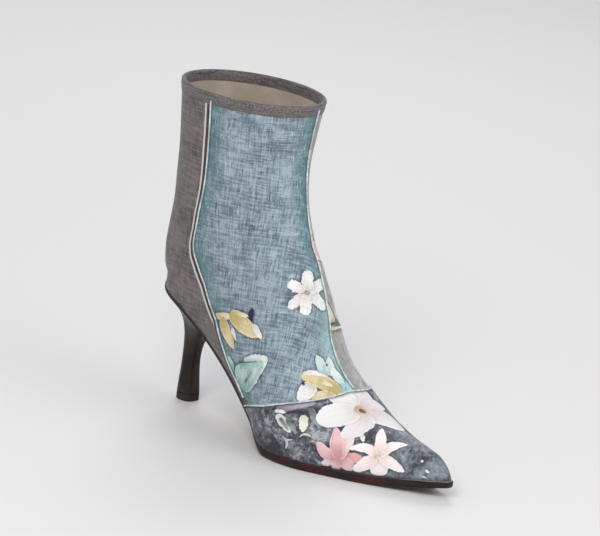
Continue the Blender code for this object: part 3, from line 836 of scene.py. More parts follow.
def quarter_material(name, strokes, dark, light, back_edge, front_edge):
    """Slubby printed denim of a quarter panel, with its own colour along the back and the front edge."""
    material, tree, shader = new_material(
        name, roughness=0.85, sheen_weight=0.15, sheen_roughness=0.5, specular_ior_level=0.3)
    flat = flat_socket(tree)
    cloth = place_group(tree, DENIM, {"Flat": flat, "Streak": 1.0, "Thread": 0.9}).outputs
    colour = blend(tree, cloth["Shade"], dark, light)
    edge = smooth(tree, attribute_socket(tree, "rim"), 18.0, 1.0)
    patchy = smooth(tree, noise(tree, flat, 0.11, 3.0), 0.42, 0.60)
    ahead = smooth(tree, along_axis(tree, flat, "X"), -50.0, -20.0)
    edge_colour = blend(tree, ahead, back_edge, front_edge)
    colour = tint(tree, colour, edge_colour, edge, times_add(tree, patchy, 0.45, 0.50))
    colour = tint(tree, colour, rgb(0.66, 0.72, 0.75), cloth["Pale"], 0.55)
    colour, covered = print_flowers(tree, flat, colour, strokes)
    bare = times_add(tree, covered, -0.55, 0.75)
    colour = tint(tree, colour, rgb(0.045, 0.06, 0.10), cloth["Dark"], bare)
    grey = times_add(tree, cloth["Shade"], 0.16, 0.92)
    shade = add(tree, "ShaderNodeCombineColor", {"Red": grey, "Green": grey, "Blue": grey}).outputs[0]
    colour = blend(tree, covered, colour, blend(tree, 1.0, colour, shade, "MULTIPLY"))
    # Painted shade: the cloth is darkened within about 2 mm of its seams, where the piping and the next panel
    # would shade it.
    seam = smooth(tree, attribute_socket(tree, "rim"), 2.2, 0.3)
    colour = tint(tree, colour, rgb(0.05, 0.06, 0.08), seam, 0.45)
    finish_material(tree, shader, colour, height=cloth["Height"], strength=0.45, distance=0.0003)
    return material


def vamp_material():
    """The vamp's dark denim, rubbed smooth and cloudy, with the large flowers."""
    material, tree, shader = new_material(
        "vamp_print", specular_ior_level=0.35, sheen_weight=0.06, sheen_roughness=0.45, coat_roughness=0.4,
        coat_weight=0.05)
    flat = flat_socket(tree)
    cloth = place_group(tree, DENIM, {"Flat": flat, "Streak": 0.8, "Thread": 0.8}).outputs
    cloud = noise(tree, stretched(tree, flat, 0.06, 0.045, shift=13.0), 1.0, 3.0, 0.6, 1.2)
    mottle = noise(tree, flat, 0.30, 6.0, 0.75, 0.3)
    tone = times_add(tree, cloud, 0.75, mottle)
    colour = blend(tree, smooth(tree, tone, 0.75, 0.92), rgb(0.012, 0.012, 0.021), rgb(0.122, 0.124, 0.160))
    colour = blend(tree, smooth(tree, tone, 0.91, 1.02), colour, rgb(0.42, 0.43, 0.46))
    fleck = smooth(tree, noise(tree, flat, 1.1, 3.0, 0.7, 0.5), 0.62, 0.70)
    fleck = times(tree, fleck, smooth(tree, cloud, 0.44, 0.56))
    colour = tint(tree, colour, rgb(0.50, 0.51, 0.50), fleck, 0.55)
    colour = tint(tree, colour, rgb(0.22, 0.23, 0.25), cloth["Shade"], 0.16)
    # Painted highlight: the cloudy ground turns paler and bluer towards the toe, where the light falls on it.
    toe_highlight = smooth(tree, along_axis(tree, object_socket(tree), "X"), 0.160, 0.215)
    toe_highlight = times(tree, toe_highlight, smooth(tree, tone, 0.62, 0.95))
    colour = tint(tree, colour, rgb(0.27, 0.32, 0.345), toe_highlight, 0.6)
    colour, covered = print_flowers(tree, flat, colour, VAMP_PRINT)
    soil = place_group(tree, WEAR, {"Place": object_socket(tree), "Size": 90.0, "Amount": 0.35}).outputs
    colour = tint(tree, colour, rgb(0.42, 0.42, 0.43), soil["Scuff"], 0.35)
    bare = times_add(tree, covered, -0.38, 0.40)
    colour = tint(tree, colour, rgb(0.018, 0.018, 0.03), cloth["Dark"], bare)
    # Painted shade: the vamp is darkened within about 2.6 mm of its edges, along the sole and below the
    # seam's piping.
    feather = smooth(tree, attribute_socket(tree, "rim"), 2.6, 0.2)
    colour = tint(tree, colour, rgb(0.035, 0.030, 0.032), feather, 0.55)
    roughness = times_add(tree, mottle, 0.2, 0.42)
    finish_material(tree, shader, colour, roughness, cloth["Height"], strength=0.25, distance=0.0003)
    return material


def back_material(name, striped):
    """Plain dark cloth. On the back panel it has a maroon stripe and a pale tape along its seams."""
    material, tree, shader = new_material(name, roughness=0.8, sheen_weight=0.15, sheen_roughness=0.5)
    flat = flat_socket(tree) if striped else vector(tree, "SCALE", object_socket(tree))
    if not striped:
        flat.node.inputs["Scale"].default_value = 1 / MM
    cloth = place_group(tree, DENIM, {"Flat": flat, "Streak": 0.9, "Thread": 0.9}).outputs
    colour = blend(tree, cloth["Shade"], rgb(0.070, 0.058, 0.058), rgb(0.190, 0.165, 0.158))
    colour = tint(tree, colour, rgb(0.32, 0.30, 0.29), cloth["Pale"], 0.30)
    if striped:
        rim = attribute_socket(tree, "rim")
        maroon = blend(tree, cloth["Shade"], rgb(0.030, 0.010, 0.014), rgb(0.085, 0.032, 0.038))
        colour = blend(tree, smooth(tree, rim, 4.6, 3.6), colour, maroon)
        rise = along_axis(tree, object_socket(tree), "Z")
        tape = smooth(tree, calc(tree, "ABSOLUTE", calc(tree, "SUBTRACT", rim, 4.9)), 1.0, 0.7)
        tape = times(tree, tape, smooth(tree, rise, 0.064, 0.071))
        colour = tint(tree, colour, rgb(0.66, 0.67, 0.65), tape, 0.92)
    finish_material(tree, shader, colour, height=cloth["Height"], strength=0.4, distance=0.0003)
    return material


def selvedge_material():
    """Pale cloth edging with a fine twist."""
    material, tree, shader = new_material("selvedge", roughness=0.8, sheen_weight=0.3, sheen_roughness=0.5)
    place = object_socket(tree)
    uneven = noise(tree, place, 420.0, 4.0, 0.7)
    colour = blend(tree, smooth(tree, uneven, 0.34, 0.60), rgb(0.42, 0.51, 0.52), rgb(0.76, 0.80, 0.80))
    rubbed = smooth(tree, noise(tree, place, 75.0, 3.0, 0.6), 0.46, 0.62)
    colour = tint(tree, colour, rgb(0.26, 0.34, 0.34), rubbed, 0.6)
    twist = noise(tree, place, 1600.0, 3.0)
    finish_material(tree, shader, colour, height=twist, strength=0.5, distance=0.0003)
    return material


# Dark, light and worn colour of each plain leather or rubber, then its roughness, scuffs and coat.
LEATHERS = {
    "heel_wrap": (
        rgb(0.006, 0.004, 0.003), rgb(0.034, 0.023, 0.017), rgb(0.15, 0.115, 0.09), 0.45, 0.55, 0.03),
    "top_piece_rubber": (
        rgb(0.012, 0.009, 0.007), rgb(0.034, 0.025, 0.020), rgb(0.13, 0.10, 0.08), 0.6, 0.55, 0.0),
    "insole_leather": (
        rgb(0.30, 0.22, 0.15), rgb(0.46, 0.36, 0.26), rgb(0.20, 0.14, 0.10), 0.55, 0.4, 0.0),
}


def leather_material(name):
    """Dyed leather with grain, uneven colour and scuffs."""
    dark, light, worn, roughness, scuffs, coat = LEATHERS[name]
    material, tree, shader = new_material(name, specular_ior_level=0.3, coat_weight=coat, coat_roughness=0.35)
    place = object_socket(tree)
    grain = place_group(tree, GRAIN, {"Place": place, "Pebble": 900.0}).outputs
    wear = place_group(tree, WEAR, {"Place": place, "Size": 70.0, "Amount": scuffs}).outputs
    colour = blend(tree, smooth(tree, grain["Tone"], 0.35, 0.68), dark, light)
    colour = tint(tree, colour, worn, wear["Scuff"], 0.6)
    rough = times_add(tree, wear["Soil"], 0.25, roughness)
    finish_material(tree, shader, colour, rough, grain["Height"], strength=0.3, distance=0.0002)
    return material


def lining_material():
    """Plain pale lining leather."""
    material, tree, shader = new_material("lining", roughness=0.75, sheen_weight=0.2, sheen_roughness=0.5)
    place = object_socket(tree)
    grain = place_group(tree, GRAIN, {"Place": place, "Pebble": 700.0}).outputs
    colour = blend(tree, smooth(tree, grain["Tone"], 0.3, 0.7), rgb(0.36, 0.30, 0.24), rgb(0.50, 0.43, 0.35))
    finish_material(tree, shader, colour, height=grain["Height"], strength=0.25, distance=0.0002)
    return material


def thread_material():
    """Grey thread for the collar's stitches."""
    material, tree, shader = new_material("thread", roughness=0.7)
    uneven = noise(tree, object_socket(tree), 900.0, 2.0)
    finish_material(tree, shader, blend(tree, uneven, rgb(0.20, 0.22, 0.25), rgb(0.36, 0.39, 0.42)))
    return material


# Panels.

def pushed(rows, places, lift=0.0):
    """Surface points moved out by the creases and a lift, with their normals."""
    points = upper_points(rows, places)
    normals = upper_normals(rows, places)
    return points + normals * (crease_depth(points) + lift)[..., None], normals, points


def make_vamp(material):
    """The vamp, from the toe to its seam, standing a step proud of the quarters."""
    rows, places, base, flat = vamp_grid()
    _, to_seam, from_outer, from_inner = edge_distance(base)
    step = VAMP_STEP * np.sqrt(np.clip(1 - (1 - np.clip(to_seam / VAMP_STEP_REACH, 0, 1)) ** 2, 0, 1))
    points, normals, _ = pushed(rows, places, step)
    points[..., 2] = np.maximum(points[..., 2], sections(rows)["base_z"] - FEATHER_DROP)
    rim = np.minimum(np.minimum(from_outer, from_inner), to_seam)
    mesh = grid_mesh("vamp", points, flat, rim, normals)
    merged(mesh, [mesh])
    return show("vamp", mesh, material, ["upper"])


def make_quarter(name, side, material):
    """A quarter panel between the front seam and a back seam, from the vamp to the collar."""
    rows, places, base, flat = quarter_grid(side)
    points, normals, _ = pushed(rows, places)
    _, _, from_back, from_front = edge_distance(base)
    rim = np.minimum(from_back, from_front)
    return show(name, grid_mesh(name, points, flat, rim, normals), material, ["upper"])


def make_back(material):
    """The back panel: from both back seams down to the sole and round the heel."""
    halves = []
    for side in (-1, 1):
        share, over = grid_shares(BACK_GRID)
        reach = BACK_SEAM[0, 1] * side
        first = vamp_seam_row(side + (reach - side) * over[0])[None, :] - QUARTER_TUCK
        lower = first + (BACK - first) * np.clip(share / BACK_LOWER_SHARE, 0, 1)
        upper = BACK + (COLLAR - BACK) * (share - BACK_LOWER_SHARE) / (1 - BACK_LOWER_SHARE)
        rows = np.where(share > BACK_LOWER_SHARE, upper, lower)
        places = side + (side * back_seam_place(rows) - side) * over
        points, normals, base = pushed(rows, places)
        low = rows < BACK - 1e-6
        floor = np.where(low, sections(rows)["base_z"] - FEATHER_DROP, points[..., 2])
        points[..., 2] = np.maximum(points[..., 2], floor)
        points[..., 1] = np.where((over == 0) & ~low, 0.0, points[..., 1])
        from_vamp, _, _, from_quarter = edge_distance(base)
        flat = np.stack([side * np.hypot(base[..., 0] - BACKMOST_X, base[..., 1]), base[..., 2]], -1)
        rim = np.minimum(from_quarter, from_vamp)
        halves.append(grid_mesh("back half", points, flat, rim, normals))
    mesh = merged(bpy.data.meshes.new("back_panel"), halves)
    return show("back_panel", mesh, material, ["upper"])


def make_lining(material):
    """The inner wall, from the toe to the collar."""
    along = np.linspace(0.05, COLLAR, LINING_GRID[0])
    rows, places = np.meshgrid(along, np.linspace(-1, 1, LINING_GRID[1]), indexing="ij")
    normals = upper_normals(rows, places)
    points = upper_points(rows, places) - normals * WALL
    points[..., 1] = np.where((np.abs(places) == 1) & (rows >= BACK), 0.0, points[..., 1])
    mesh = grid_mesh("lining", points, None, None, -normals)
    merged(mesh, [mesh])
    return show("lining", mesh, material, ["upper"])


# The collar fold's section: out from the surface and up along it, from the outer hem to the inner one.
COLLAR_FOLD = [
    (0.30, -7.0), (0.42, -6.2), (0.45, -1.5), (0.35, -0.4), (-0.1, 0.35), (-0.9, 0.6),
    (-1.7, 0.35), (-2.15, -0.4), (-2.2, -1.5), (-2.2, -6.0), (-1.95, -6.6),
]
COLLAR_SIDES = 160


def make_collar(material):
    """The folded edge at the collar, over the wall's rim."""
    places = np.linspace(-1, 1, COLLAR_SIDES + 1)[:-1]
    rim = np.full(places.shape, COLLAR)
    edge, normals = upper_points(rim, places), upper_normals(rim, places)
    along = edge - upper_points(rim - 0.1, places)
    along /= np.linalg.norm(along, axis=-1, keepdims=True)
    rings = [edge + normals * out + along * up for out, up in COLLAR_FOLD]
    mesh = loft(rings, capped=False)
    return show("collar_fold", mesh, material, ["upper"])


# Sole, heel and insole.

# Rows of the sole with its thickness, and with its margin beyond the upper.
SOLE_THICKNESS = ((0.0, TOE_BACK, JOINT, WAIST_BACK, BACK), (4.3, 6.4, 6.4, 3.6, 3.0))
SOLE_MARGIN = ((0.0, BALL, WAIST_FRONT), (1.9, 1.3, 0.3))
SOLE_LEAST_HALF = 1.2
SOLE_ROLL = 0.9
WAIST_ROLL = 2.6
SEAT_GAP = 0.3
SOLE_RINGS = 120
SOLE_ENDS = [0.0, 0.03, 0.08, 0.15, 0.25, 0.38, 0.52, 0.68, 0.84]

# The sole's edge from its lip down: shares of its roll inwards and of its depth.
SOLE_EDGE = [
    (0.55, 0.0), (0.12, 0.03), (0.0, 0.14), (0.06, 0.30), (0.06, 0.52),
    (0.02, 0.66), (0.25, 0.82), (0.62, 0.95), (1.0, 1.0),
]


def sole_bottom(rows):
    return np.maximum(sections(rows)["base_z"] - np.interp(rows, *SOLE_THICKNESS), 0.0)


def sole_ring(row):
    """The outsole's section, with a rounded upper lip, a slightly hollow edge and a rounded lower corner."""
    s = {key: float(value) for key, value in sections(np.array(row)).items()}
    margin = float(np.interp(row, *SOLE_MARGIN))
    ahead = max(1.0 - row, 0.0) * SOLE_MARGIN[1][0] - max(row - SEAT_BACK, 0.0) * margin
    top, bottom = s["base_z"] - SEAT_GAP, float(sole_bottom(np.array(row)))
    deep = top - bottom
    waist = max(0.0, 1 - abs(row - WAIST_BACK) / 3.0)
    roll = SOLE_ROLL + WAIST_ROLL * waist
    ring = []
    for sign, half in ((1, s["feather_in"]), (-1, s["feather_out"])):
        wide = max(half + margin, SOLE_LEAST_HALF)
        side = [(sign * (wide - min(roll * r, wide * 0.45)), top - deep * d) for r, d in SOLE_EDGE]
        ring += side + [(0.0, bottom)] if sign > 0 else side[::-1] + [(0.0, top)]
    return [(s["base_x"] + ahead, s["swing"] + y, z) for y, z in ring]


def make_outsole(material):
    middle = list(np.linspace(1, SEAT_BACK, SOLE_RINGS))
    rows = SOLE_ENDS + middle + [BACK - end for end in reversed(SOLE_ENDS)]
    mesh = loft([sole_ring(row) for row in rows])
    slopes = np.array([face.normal.z for face in mesh.polygons])
    # Faces that look down get the tread; faces that look up get the painted highlight on the sole's lip.
    for label, faces in (("under", slopes < -0.6), ("ledge", slopes > 0.35)):
        mesh.attributes.new(label, "FLOAT", "FACE").data.foreach_set("value", faces.astype(np.float32))
    return show("outsole_dressed", mesh, material, ["outsole"])


def sole_material():
    """Dark brown stained edge with a reddish cast, and a worn brown tread."""
    material, tree, shader = new_material(
        "sole_edge", specular_ior_level=0.3, coat_weight=0.04, coat_roughness=0.35)
    place = object_socket(tree)
    grain = place_group(tree, GRAIN, {"Place": place, "Pebble": 800.0}).outputs
    wear = place_group(tree, WEAR, {"Place": place, "Size": 55.0, "Amount": 0.5}).outputs
    layers = noise(tree, stretched(tree, place, 60.0, 60.0, 1400.0), 1.0, 3.0, 0.6)
    layers = smooth(tree, layers, 0.35, 0.65)
    colour = blend(tree, layers, rgb(0.005, 0.003, 0.0025), rgb(0.026, 0.015, 0.011))
    ahead = along_axis(tree, place, "X")
    redness = times(tree, smooth(tree, ahead, 0.115, 0.140), smooth(tree, ahead, 0.205, 0.180))
    redness = times(tree, redness, smooth(tree, noise(tree, place, 45.0, 3.0), 0.44, 0.58))
    colour = tint(tree, colour, rgb(0.060, 0.006, 0.008), redness, 0.75)
    tread = blend(tree, grain["Tone"], rgb(0.06, 0.035, 0.024), rgb(0.16, 0.10, 0.065))
    colour = blend(tree, attribute_socket(tree, "under"), colour, tread)
    colour = tint(tree, colour, rgb(0.20, 0.15, 0.12), wear["Scuff"], 0.5)
    # Painted highlight: the sole's upward-facing lip is made pale, a little along its length and most at the
    # toe.
    lip_highlight = times_add(tree, smooth(tree, ahead, 0.190, 0.218), 0.70, 0.08)
    colour = tint(tree, colour, rgb(0.42, 0.39, 0.35), attribute_socket(tree, "ledge"), lip_highlight)
    rough = times_add(tree, wear["Soil"], 0.3, 0.42)
    finish_material(tree, shader, colour, rough, grain["Height"], strength=0.25, distance=0.0002)
    return material


# Heel sections from the top piece to the seat: share of the way up, back and front along X, half width.
HEEL = np.array([
    (0.00, -7.0, 7.4, 6.7),
    (0.10, -6.6, 7.0, 6.3),
    (0.26, -5.9, 6.3, 5.6),
    (0.44, -5.6, 6.0, 5.3),
    (0.58, -6.0, 6.7, 5.7),
    (0.70, -7.6, 8.2, 7.0),
    (0.80, -10.4, 10.8, 9.6),
    (0.89, -14.4, 16.0, 14.0),
    (0.96, -18.2, 23.8, 19.4),
    (1.00, -20.2, 30.5, 22.8),
])
HEEL_BREAST_POWER = 3.0
HEEL_SIDES = 72
HEEL_RINGS = 82
LIFT_HEIGHT = 5.0

# The top piece's section: height, and how far it grows beyond the heel.
TOP_PIECE = ((0.0, -0.5), (0.12, -0.18), (0.5, 0.0), (2.4, 0.05), (4.3, 0.0), (4.6, -0.15), (4.7, -0.5))

INSOLE_ROWS = np.linspace(1.3, BACK - 0.2, 120)
INSOLE_INSET = 2.5
INSOLE_LIFT = 0.05
INSOLE_THICK = 1.6
INSOLE_LEAST_HALF = 0.4


def heel_outline(back, front, half, grow=0.0):
    """Points round a heel section: a round back and a nearly flat breast."""
    centre = back + half if back + half < front else 0.0
    angle = 2 * np.pi * np.arange(HEEL_SIDES) / HEEL_SIDES
    c, s = np.cos(angle), np.sin(angle)
    power = np.where(c > 0, 2 / HEEL_BREAST_POWER, 1.0)
    reach = np.where(c > 0, front - centre, centre - back) + grow
    x = centre + np.sign(c) * reach * np.abs(c) ** power
    y = np.sign(s) * (half + grow) * np.abs(s) ** power
    return np.stack([x, y], -1)


def make_heel(material):
    """The heel, from its top piece to the seat, which its top follows."""
    seat_x = heel_outline(*HEEL[-1, 1:])[:, 0]
    table = np.linspace(JOINT, BACK, 400)
    base_x = sections(table)["base_x"]
    seat = np.interp(-seat_x, -base_x, sole_bottom(table)) - SEAT_GAP
    rings = []
    for step in np.linspace(0, len(HEEL) - 1, HEEL_RINGS):
        low = min(int(step), len(HEEL) - 2)
        rise, back, front, half = catmull(HEEL, np.array(low), np.array(step - low))
        outline = heel_outline(back, front, half)
        z = LIFT_HEIGHT + (seat - LIFT_HEIGHT) * rise
        rings.append(np.c_[outline, z])
    rings.insert(0, np.c_[heel_outline(*HEEL[0, 1:], grow=-0.6), np.full(len(seat), LIFT_HEIGHT)])
    return show("heel_dressed", loft(rings), material, ["heel"])


def make_top_piece(material):
    rings = [np.c_[heel_outline(*HEEL[0, 1:], grow), np.full(HEEL_SIDES, z)] for z, grow in TOP_PIECE]
    return show("top_piece_dressed", loft(rings), material, ["top_piece"])


def make_insole(material):
    """A thin padded sheet inside the walls."""
    rings = []
    step = 0.02
    for row in INSOLE_ROWS:
        s, before, after = (sections(np.array(r)) for r in (row, row - step, row + step))
        halves = []
        for edge in ("feather_in", "feather_out"):
            slope = (after[edge] - before[edge]) / (after["base_x"] - before["base_x"])
            half = float(s[edge] - INSOLE_INSET * math.hypot(1.0, slope))
            halves.append(max(half, INSOLE_LEAST_HALF))
        inner, outer = halves
        ring = [(-outer, 0.0), (inner, 0.0), (inner, 1.2), (inner - 0.4, 1.55), (inner * 0.5, INSOLE_THICK)]
        ring += [(0.0, INSOLE_THICK), (-outer * 0.5, INSOLE_THICK), (-outer + 0.4, 1.55), (-outer, 1.2)]
        low = float(s["base_z"]) + INSOLE_LIFT
        rings.append([(float(s["base_x"]), float(s["swing"]) + y, low + z) for y, z in ring])
    return show("insole_dressed", loft(rings), material, ["insole"])


# Seams: paths on the surface, with cords, frayed threads and stitches made by geometry nodes.

SEAM_NODES = {
    "vamp": "vamp_piping", "front": "front_piping",
    "back_outer": "back_piping_outer", "back_inner": "back_piping_inner",
}
CORD_LIFT = 0.65
CORD_SIDES = 12
CORD_END = 0.22
CORD = {"Radius": 0.55 * MM, "Step": 0.8 * MM}
FRAY = {"Spacing": 0.5 * MM, "Length": 1.6 * MM, "Thickness": 0.09 * MM, "Seed": 5}
FIBRE_TIP = 0.03 * MM
STITCHES = {"Pitch": 2.6 * MM, "Length": 1.8 * MM, "Thickness": 0.36 * MM}
STITCH_DROP = 0.14
STITCH_LIFT = 0.55
STITCH_POINTS = 200


def path_mesh(name, rows, places, lift):
    """A line of edges on the upper, which carries the direction across the seam and out of the surface."""
    points = upper_points(rows, places)
    normals = upper_normals(rows, places)
    points = points + normals * (crease_depth(points[None])[0] + lift)[:, None]
    ahead = np.gradient(points, axis=0)
    across = np.cross(normals, ahead)
    across /= np.linalg.norm(across, axis=-1, keepdims=True)
    mesh = bpy.data.meshes.new(name)
    mesh.from_pydata((points * MM).tolist(), [(i, i + 1) for i in range(len(points) - 1)], [])
    for label, values in (("across", across), ("outward", normals)):
        attribute = mesh.attributes.new(label, "FLOAT_VECTOR", "POINT")
        attribute.data.foreach_set("vector", values.astype(np.float32).ravel())
    return mesh


def path_tree(name, values, whole=""):
    """An empty geometry tree that takes a path and named values, with the path as a curve."""
    inputs = {"geometry": "Geometry", "value": values, "whole": whole, "material": "Material"}
    tree, given, out = new_group(name, inputs, {"geometry": "Geometry"}, "GeometryNodeTree")
    curve = add(tree, "GeometryNodeMeshToCurve", {0: given["Geometry"]}).outputs[0]
    return tree, given, curve, out["Geometry"]


def path_points(tree, curve, spacing):
    inputs = {"Curve": curve, "Length": spacing}
    return add(tree, "GeometryNodeCurveToPoints", inputs, mode="LENGTH").outputs


def path_vector(tree, name):
    """A direction that the path carries."""
    node = add(tree, "GeometryNodeInputNamedAttribute", {"Name": name}, data_type="FLOAT_VECTOR")
    return node.outputs["Attribute"]


def aligned(tree, inputs, **settings):
    return add(tree, "FunctionNodeAlignRotationToVector", inputs, **settings).outputs["Rotation"]


def placed(tree, points, piece, turn, size):
    inputs = {"Points": points, "Instance": piece, "Rotation": turn, "Scale": size}
    return add(tree, "GeometryNodeInstanceOnPoints", inputs).outputs["Instances"]


def end_tree(tree, geometry, material, out):
    realized = add(tree, "GeometryNodeRealizeInstances", {0: geometry}).outputs[0]
    painted = add(tree, "GeometryNodeSetMaterial", {"Geometry": realized, "Material": material}).outputs[0]
    tree.links.new(painted, out)


def cord_tree():
    """A round cord along the path."""
    tree, given, curve, out = path_tree("piping cord", "Radius Step")
    inputs = {"Curve": curve, "Length": given["Step"]}
    even = add(tree, "GeometryNodeResampleCurve", inputs, mode="LENGTH").outputs[0]
    inputs = {"Resolution": CORD_SIDES, "Radius": given["Radius"]}
    circle = add(tree, "GeometryNodeCurvePrimitiveCircle", inputs, mode="RADIUS").outputs[0]
    inputs = {"Curve": even, "Profile Curve": circle, "Fill Caps": True}
    end_tree(tree, add(tree, "GeometryNodeCurveToMesh", inputs).outputs[0], given["Material"], out)
    return tree


def fray_tree():
    """Short loose threads that stand across the path, uneven in length and lean."""
    tree, given, curve, out = path_tree("frayed edge", "Spacing Length Thickness", "Seed")
    points = path_points(tree, curve, given["Spacing"])["Points"]
    inputs = {"Vertices": 5, "Side Segments": 1, "Radius Top": FIBRE_TIP}
    inputs.update({"Radius Bottom": given["Thickness"], "Depth": given["Length"]})
    fibre = add(tree, "GeometryNodeMeshCone", inputs, fill_type="NONE").outputs["Mesh"]
    inputs = {0: (-0.8, -0.8, -0.8), 1: (0.8, 0.8, 0.8), "Seed": given["Seed"]}
    jitter = add(tree, "FunctionNodeRandomValue", inputs, data_type="FLOAT_VECTOR").outputs["Value"]
    lean = vector(tree, "ADD", path_vector(tree, "across"), jitter)
    inputs = {2: 0.3, 3: 1.2, "Seed": given["Seed"]}
    size = add(tree, "FunctionNodeRandomValue", inputs, data_type="FLOAT").outputs[1]
    fibres = placed(tree, points, fibre, aligned(tree, {"Vector": lean}, axis="Z"), size)
    end_tree(tree, fibres, given["Material"], out)
    return tree


def stitch_tree():
    """Thread stitches lying along the path."""
    tree, given, curve, out = path_tree("stitch row", "Pitch Length Thickness")
    made = path_points(tree, curve, given["Pitch"])
    bead = add(tree, "GeometryNodeMeshUVSphere", {"Segments": 8, "Rings": 5, "Radius": 0.5}).outputs["Mesh"]
    turn = aligned(tree, {"Vector": made["Tangent"]}, axis="X")
    inputs = {"Rotation": turn, "Vector": path_vector(tree, "outward")}
    turn = aligned(tree, inputs, axis="Z", pivot_axis="X")
    inputs = {"X": given["Length"], "Y": given["Thickness"], "Z": given["Thickness"]}
    size = add(tree, "ShaderNodeCombineXYZ", inputs).outputs[0]
    end_tree(tree, placed(tree, made["Points"], bead, turn, size), given["Material"], out)
    return tree


def grown(name, path, tree, values):
    """The plain mesh that a geometry tree makes from a path."""
    carrier = bpy.data.objects.new(name, path)
    bpy.context.scene.collection.objects.link(carrier)
    modifier = carrier.modifiers.new("made", "NODES")
    modifier.node_group = tree
    for socket in tree.interface.items_tree:
        if socket.in_out == "INPUT" and socket.name in values:
            modifier[socket.identifier] = values[socket.name]
    evaluated = carrier.evaluated_get(bpy.context.evaluated_depsgraph_get())
    mesh = bpy.data.meshes.new_from_object(evaluated)
    mesh.name = name
    carrier.modifiers.remove(modifier)
    bpy.data.objects.remove(carrier)
    return mesh


def seam_paths():
    """Each seam's rows and places, from end to end."""
    vamp_places = np.linspace(-0.95, 0.95, 160)
    front_rows = np.linspace(float(vamp_seam_row(FRONT_SEAM_PLACE)) + 0.08, COLLAR - CORD_END, 160)
    back_rows = np.linspace(BACK_SEAM[0, 0], COLLAR - CORD_END, 180)
    return {
        "vamp": (vamp_seam_row(vamp_places), vamp_places),
        "front": (front_rows, np.full(front_rows.shape, FRONT_SEAM_PLACE)),
        "back_outer": (back_rows, -back_seam_place(back_rows)),
        "back_inner": (back_rows, back_seam_place(back_rows)),
    }


def make_seams(selvedge, thread):
    """The cords on the seams, the vamp's frayed edge and the collar's stitches."""
    cord, fray, stitch = cord_tree(), fray_tree(), stitch_tree()
    paths = seam_paths()
    for seam, (rows, places) in paths.items():
        name = f"{seam}_edging"
        path = path_mesh(seam, rows, places, CORD_LIFT)
        mesh = grown(name, path, cord, {**CORD, "Material": selvedge})
        show(name, mesh, selvedge, [SEAM_NODES[seam]])
    path = path_mesh("vamp fray", *paths["vamp"], CORD_LIFT)
    mesh = grown("vamp_fray", path, fray, {**FRAY, "Material": selvedge})
    show("vamp_fray", mesh, selvedge, ["vamp_piping"])
    places = np.linspace(-1, 1, STITCH_POINTS)
    path = path_mesh("collar stitches", np.full(places.shape, COLLAR - STITCH_DROP), places, STITCH_LIFT)
    mesh = grown("collar_stitches", path, stitch, {**STITCHES, "Material": thread})
    show("collar_stitches", mesh, thread, ["upper"])


# Studio.

HEEL_PIXEL = (186.8, 400.3)
FRAME_PIXELS = (600.0, 536.0)
PIXELS_PER_MM = 1.577
CAMERA_DISTANCE = 3000.0
CAMERA_AZIMUTH = 42.8
CAMERA_ELEVATION = 15.55
CAMERA_ROLL = 6.26
CAMERA_TARGET = Vector((100, 0, 60))
SENSOR_WIDTH = 36.0
VIEW_END = 100.0

# Each light's name, place, size, power and colour.
LIGHTS = [
    ("key", (0.75, -1.25, 1.35), 1.1, 17.0, (1.0, 0.98, 0.95)),
    ("fill", (1.5, 0.3, 0.9), 1.2, 7.0, (0.95, 0.97, 1.0)),
    ("back", (-0.8, 0.9, 1.3), 0.9, 8.0, (1.0, 1.0, 1.0)),
]
LIGHT_TARGET = Vector((0.09, 0, 0.06))
FLOOR_SIZE = 30.0
FLOOR_COLOUR = rgb(0.80, 0.79, 0.78)
SURROUND_COLOUR = rgb(0.93, 0.95, 1.0)
SURROUND_STRENGTH = 0.5


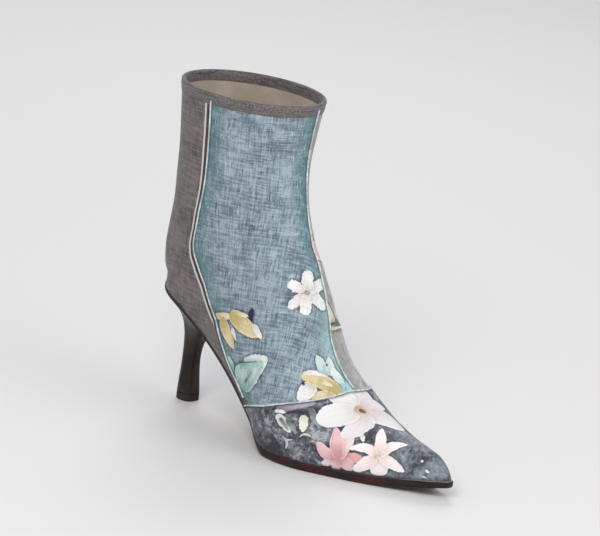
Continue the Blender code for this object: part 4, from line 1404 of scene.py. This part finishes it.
def make_camera():
    """Looks at the boot from the photograph's angle, with the heel's tread on its pixel."""
    azimuth, elevation, roll = (math.radians(a) for a in (CAMERA_AZIMUTH, CAMERA_ELEVATION, CAMERA_ROLL))
    level = Vector((math.cos(azimuth), math.sin(azimuth), 0))
    towards = Vector((math.sin(azimuth), -math.cos(azimuth), 0))
    back = towards * math.cos(elevation) + Vector((0, 0, 1)) * math.sin(elevation)
    rise = Vector((0, 0, 1)) * math.cos(elevation) - towards * math.sin(elevation)
    right = level * math.cos(roll) + rise * math.sin(roll)
    up = rise * math.cos(roll) - level * math.sin(roll)
    toward_heel = -CAMERA_TARGET
    scale = PIXELS_PER_MM * CAMERA_DISTANCE / (CAMERA_DISTANCE - toward_heel.dot(back))
    target_x = HEEL_PIXEL[0] - toward_heel.dot(right) * scale
    target_y = HEEL_PIXEL[1] + toward_heel.dot(up) * scale
    place = CAMERA_TARGET + back * CAMERA_DISTANCE
    place -= right * (target_x - FRAME_PIXELS[0] / 2) / PIXELS_PER_MM
    place += up * (target_y - FRAME_PIXELS[1] / 2) / PIXELS_PER_MM
    data = bpy.data.cameras.new("camera")
    data.sensor_fit = "HORIZONTAL"
    data.sensor_width = SENSOR_WIDTH
    data.lens = SENSOR_WIDTH * PIXELS_PER_MM * CAMERA_DISTANCE / FRAME_PIXELS[0]
    data.clip_end = VIEW_END
    camera = bpy.data.objects.new("camera", data)
    turn = Matrix((right, up, back)).transposed().to_4x4()
    camera.matrix_world = Matrix.Translation(place * MM) @ turn
    bpy.context.scene.collection.objects.link(camera)
    bpy.context.scene.camera = camera


def make_light(name, place, size, power, colour):
    data = bpy.data.lights.new(name, "AREA")
    data.shape = "DISK"
    data.size = size
    data.energy = power
    data.color = colour
    light = bpy.data.objects.new(name, data)
    light.location = place
    light.rotation_euler = (LIGHT_TARGET - Vector(place)).to_track_quat("-Z", "Y").to_euler()
    bpy.context.scene.collection.objects.link(light)


def make_studio():
    """A plain pale floor, soft lights and an even surround."""
    bpy.ops.mesh.primitive_plane_add(size=FLOOR_SIZE)
    floor = bpy.context.object
    floor.name = "floor"
    floor.data.materials.append(new_material("pale_floor", base_color=FLOOR_COLOUR, roughness=0.7)[0])
    for light in LIGHTS:
        make_light(*light)
    world = bpy.data.worlds.new("surround")
    world.use_nodes = True
    background = world.node_tree.nodes["Background"]
    background.inputs["Color"].default_value = SURROUND_COLOUR
    background.inputs["Strength"].default_value = SURROUND_STRENGTH
    bpy.context.scene.world = world
    bpy.context.scene.view_settings.view_transform = "Standard"


def main():
    make_vamp(vamp_material())
    slate, pale_blue = rgb(0.120, 0.165, 0.205), rgb(0.37, 0.46, 0.52)
    teal, pale_teal = rgb(0.085, 0.20, 0.205), rgb(0.43, 0.68, 0.65)
    outer_print = quarter_material("outer_print", OUTER_PRINT, slate, pale_blue, teal, pale_teal)
    make_quarter("outer_quarter", -1, outer_print)
    tan_grey, sand, moss = rgb(0.28, 0.26, 0.255), rgb(0.60, 0.555, 0.55), rgb(0.28, 0.29, 0.265)
    inner_print = quarter_material("inner_print", INNER_PRINT, tan_grey, sand, moss, moss)
    make_quarter("inner_quarter", 1, inner_print)
    make_back(back_material("back_cloth", True))
    make_lining(lining_material())
    make_collar(back_material("collar_cloth", False))
    make_outsole(sole_material())
    make_heel(leather_material("heel_wrap"))
    make_top_piece(leather_material("top_piece_rubber"))
    make_insole(leather_material("insole_leather"))
    make_seams(selvedge_material(), thread_material())
    make_studio()
    make_camera()


main()
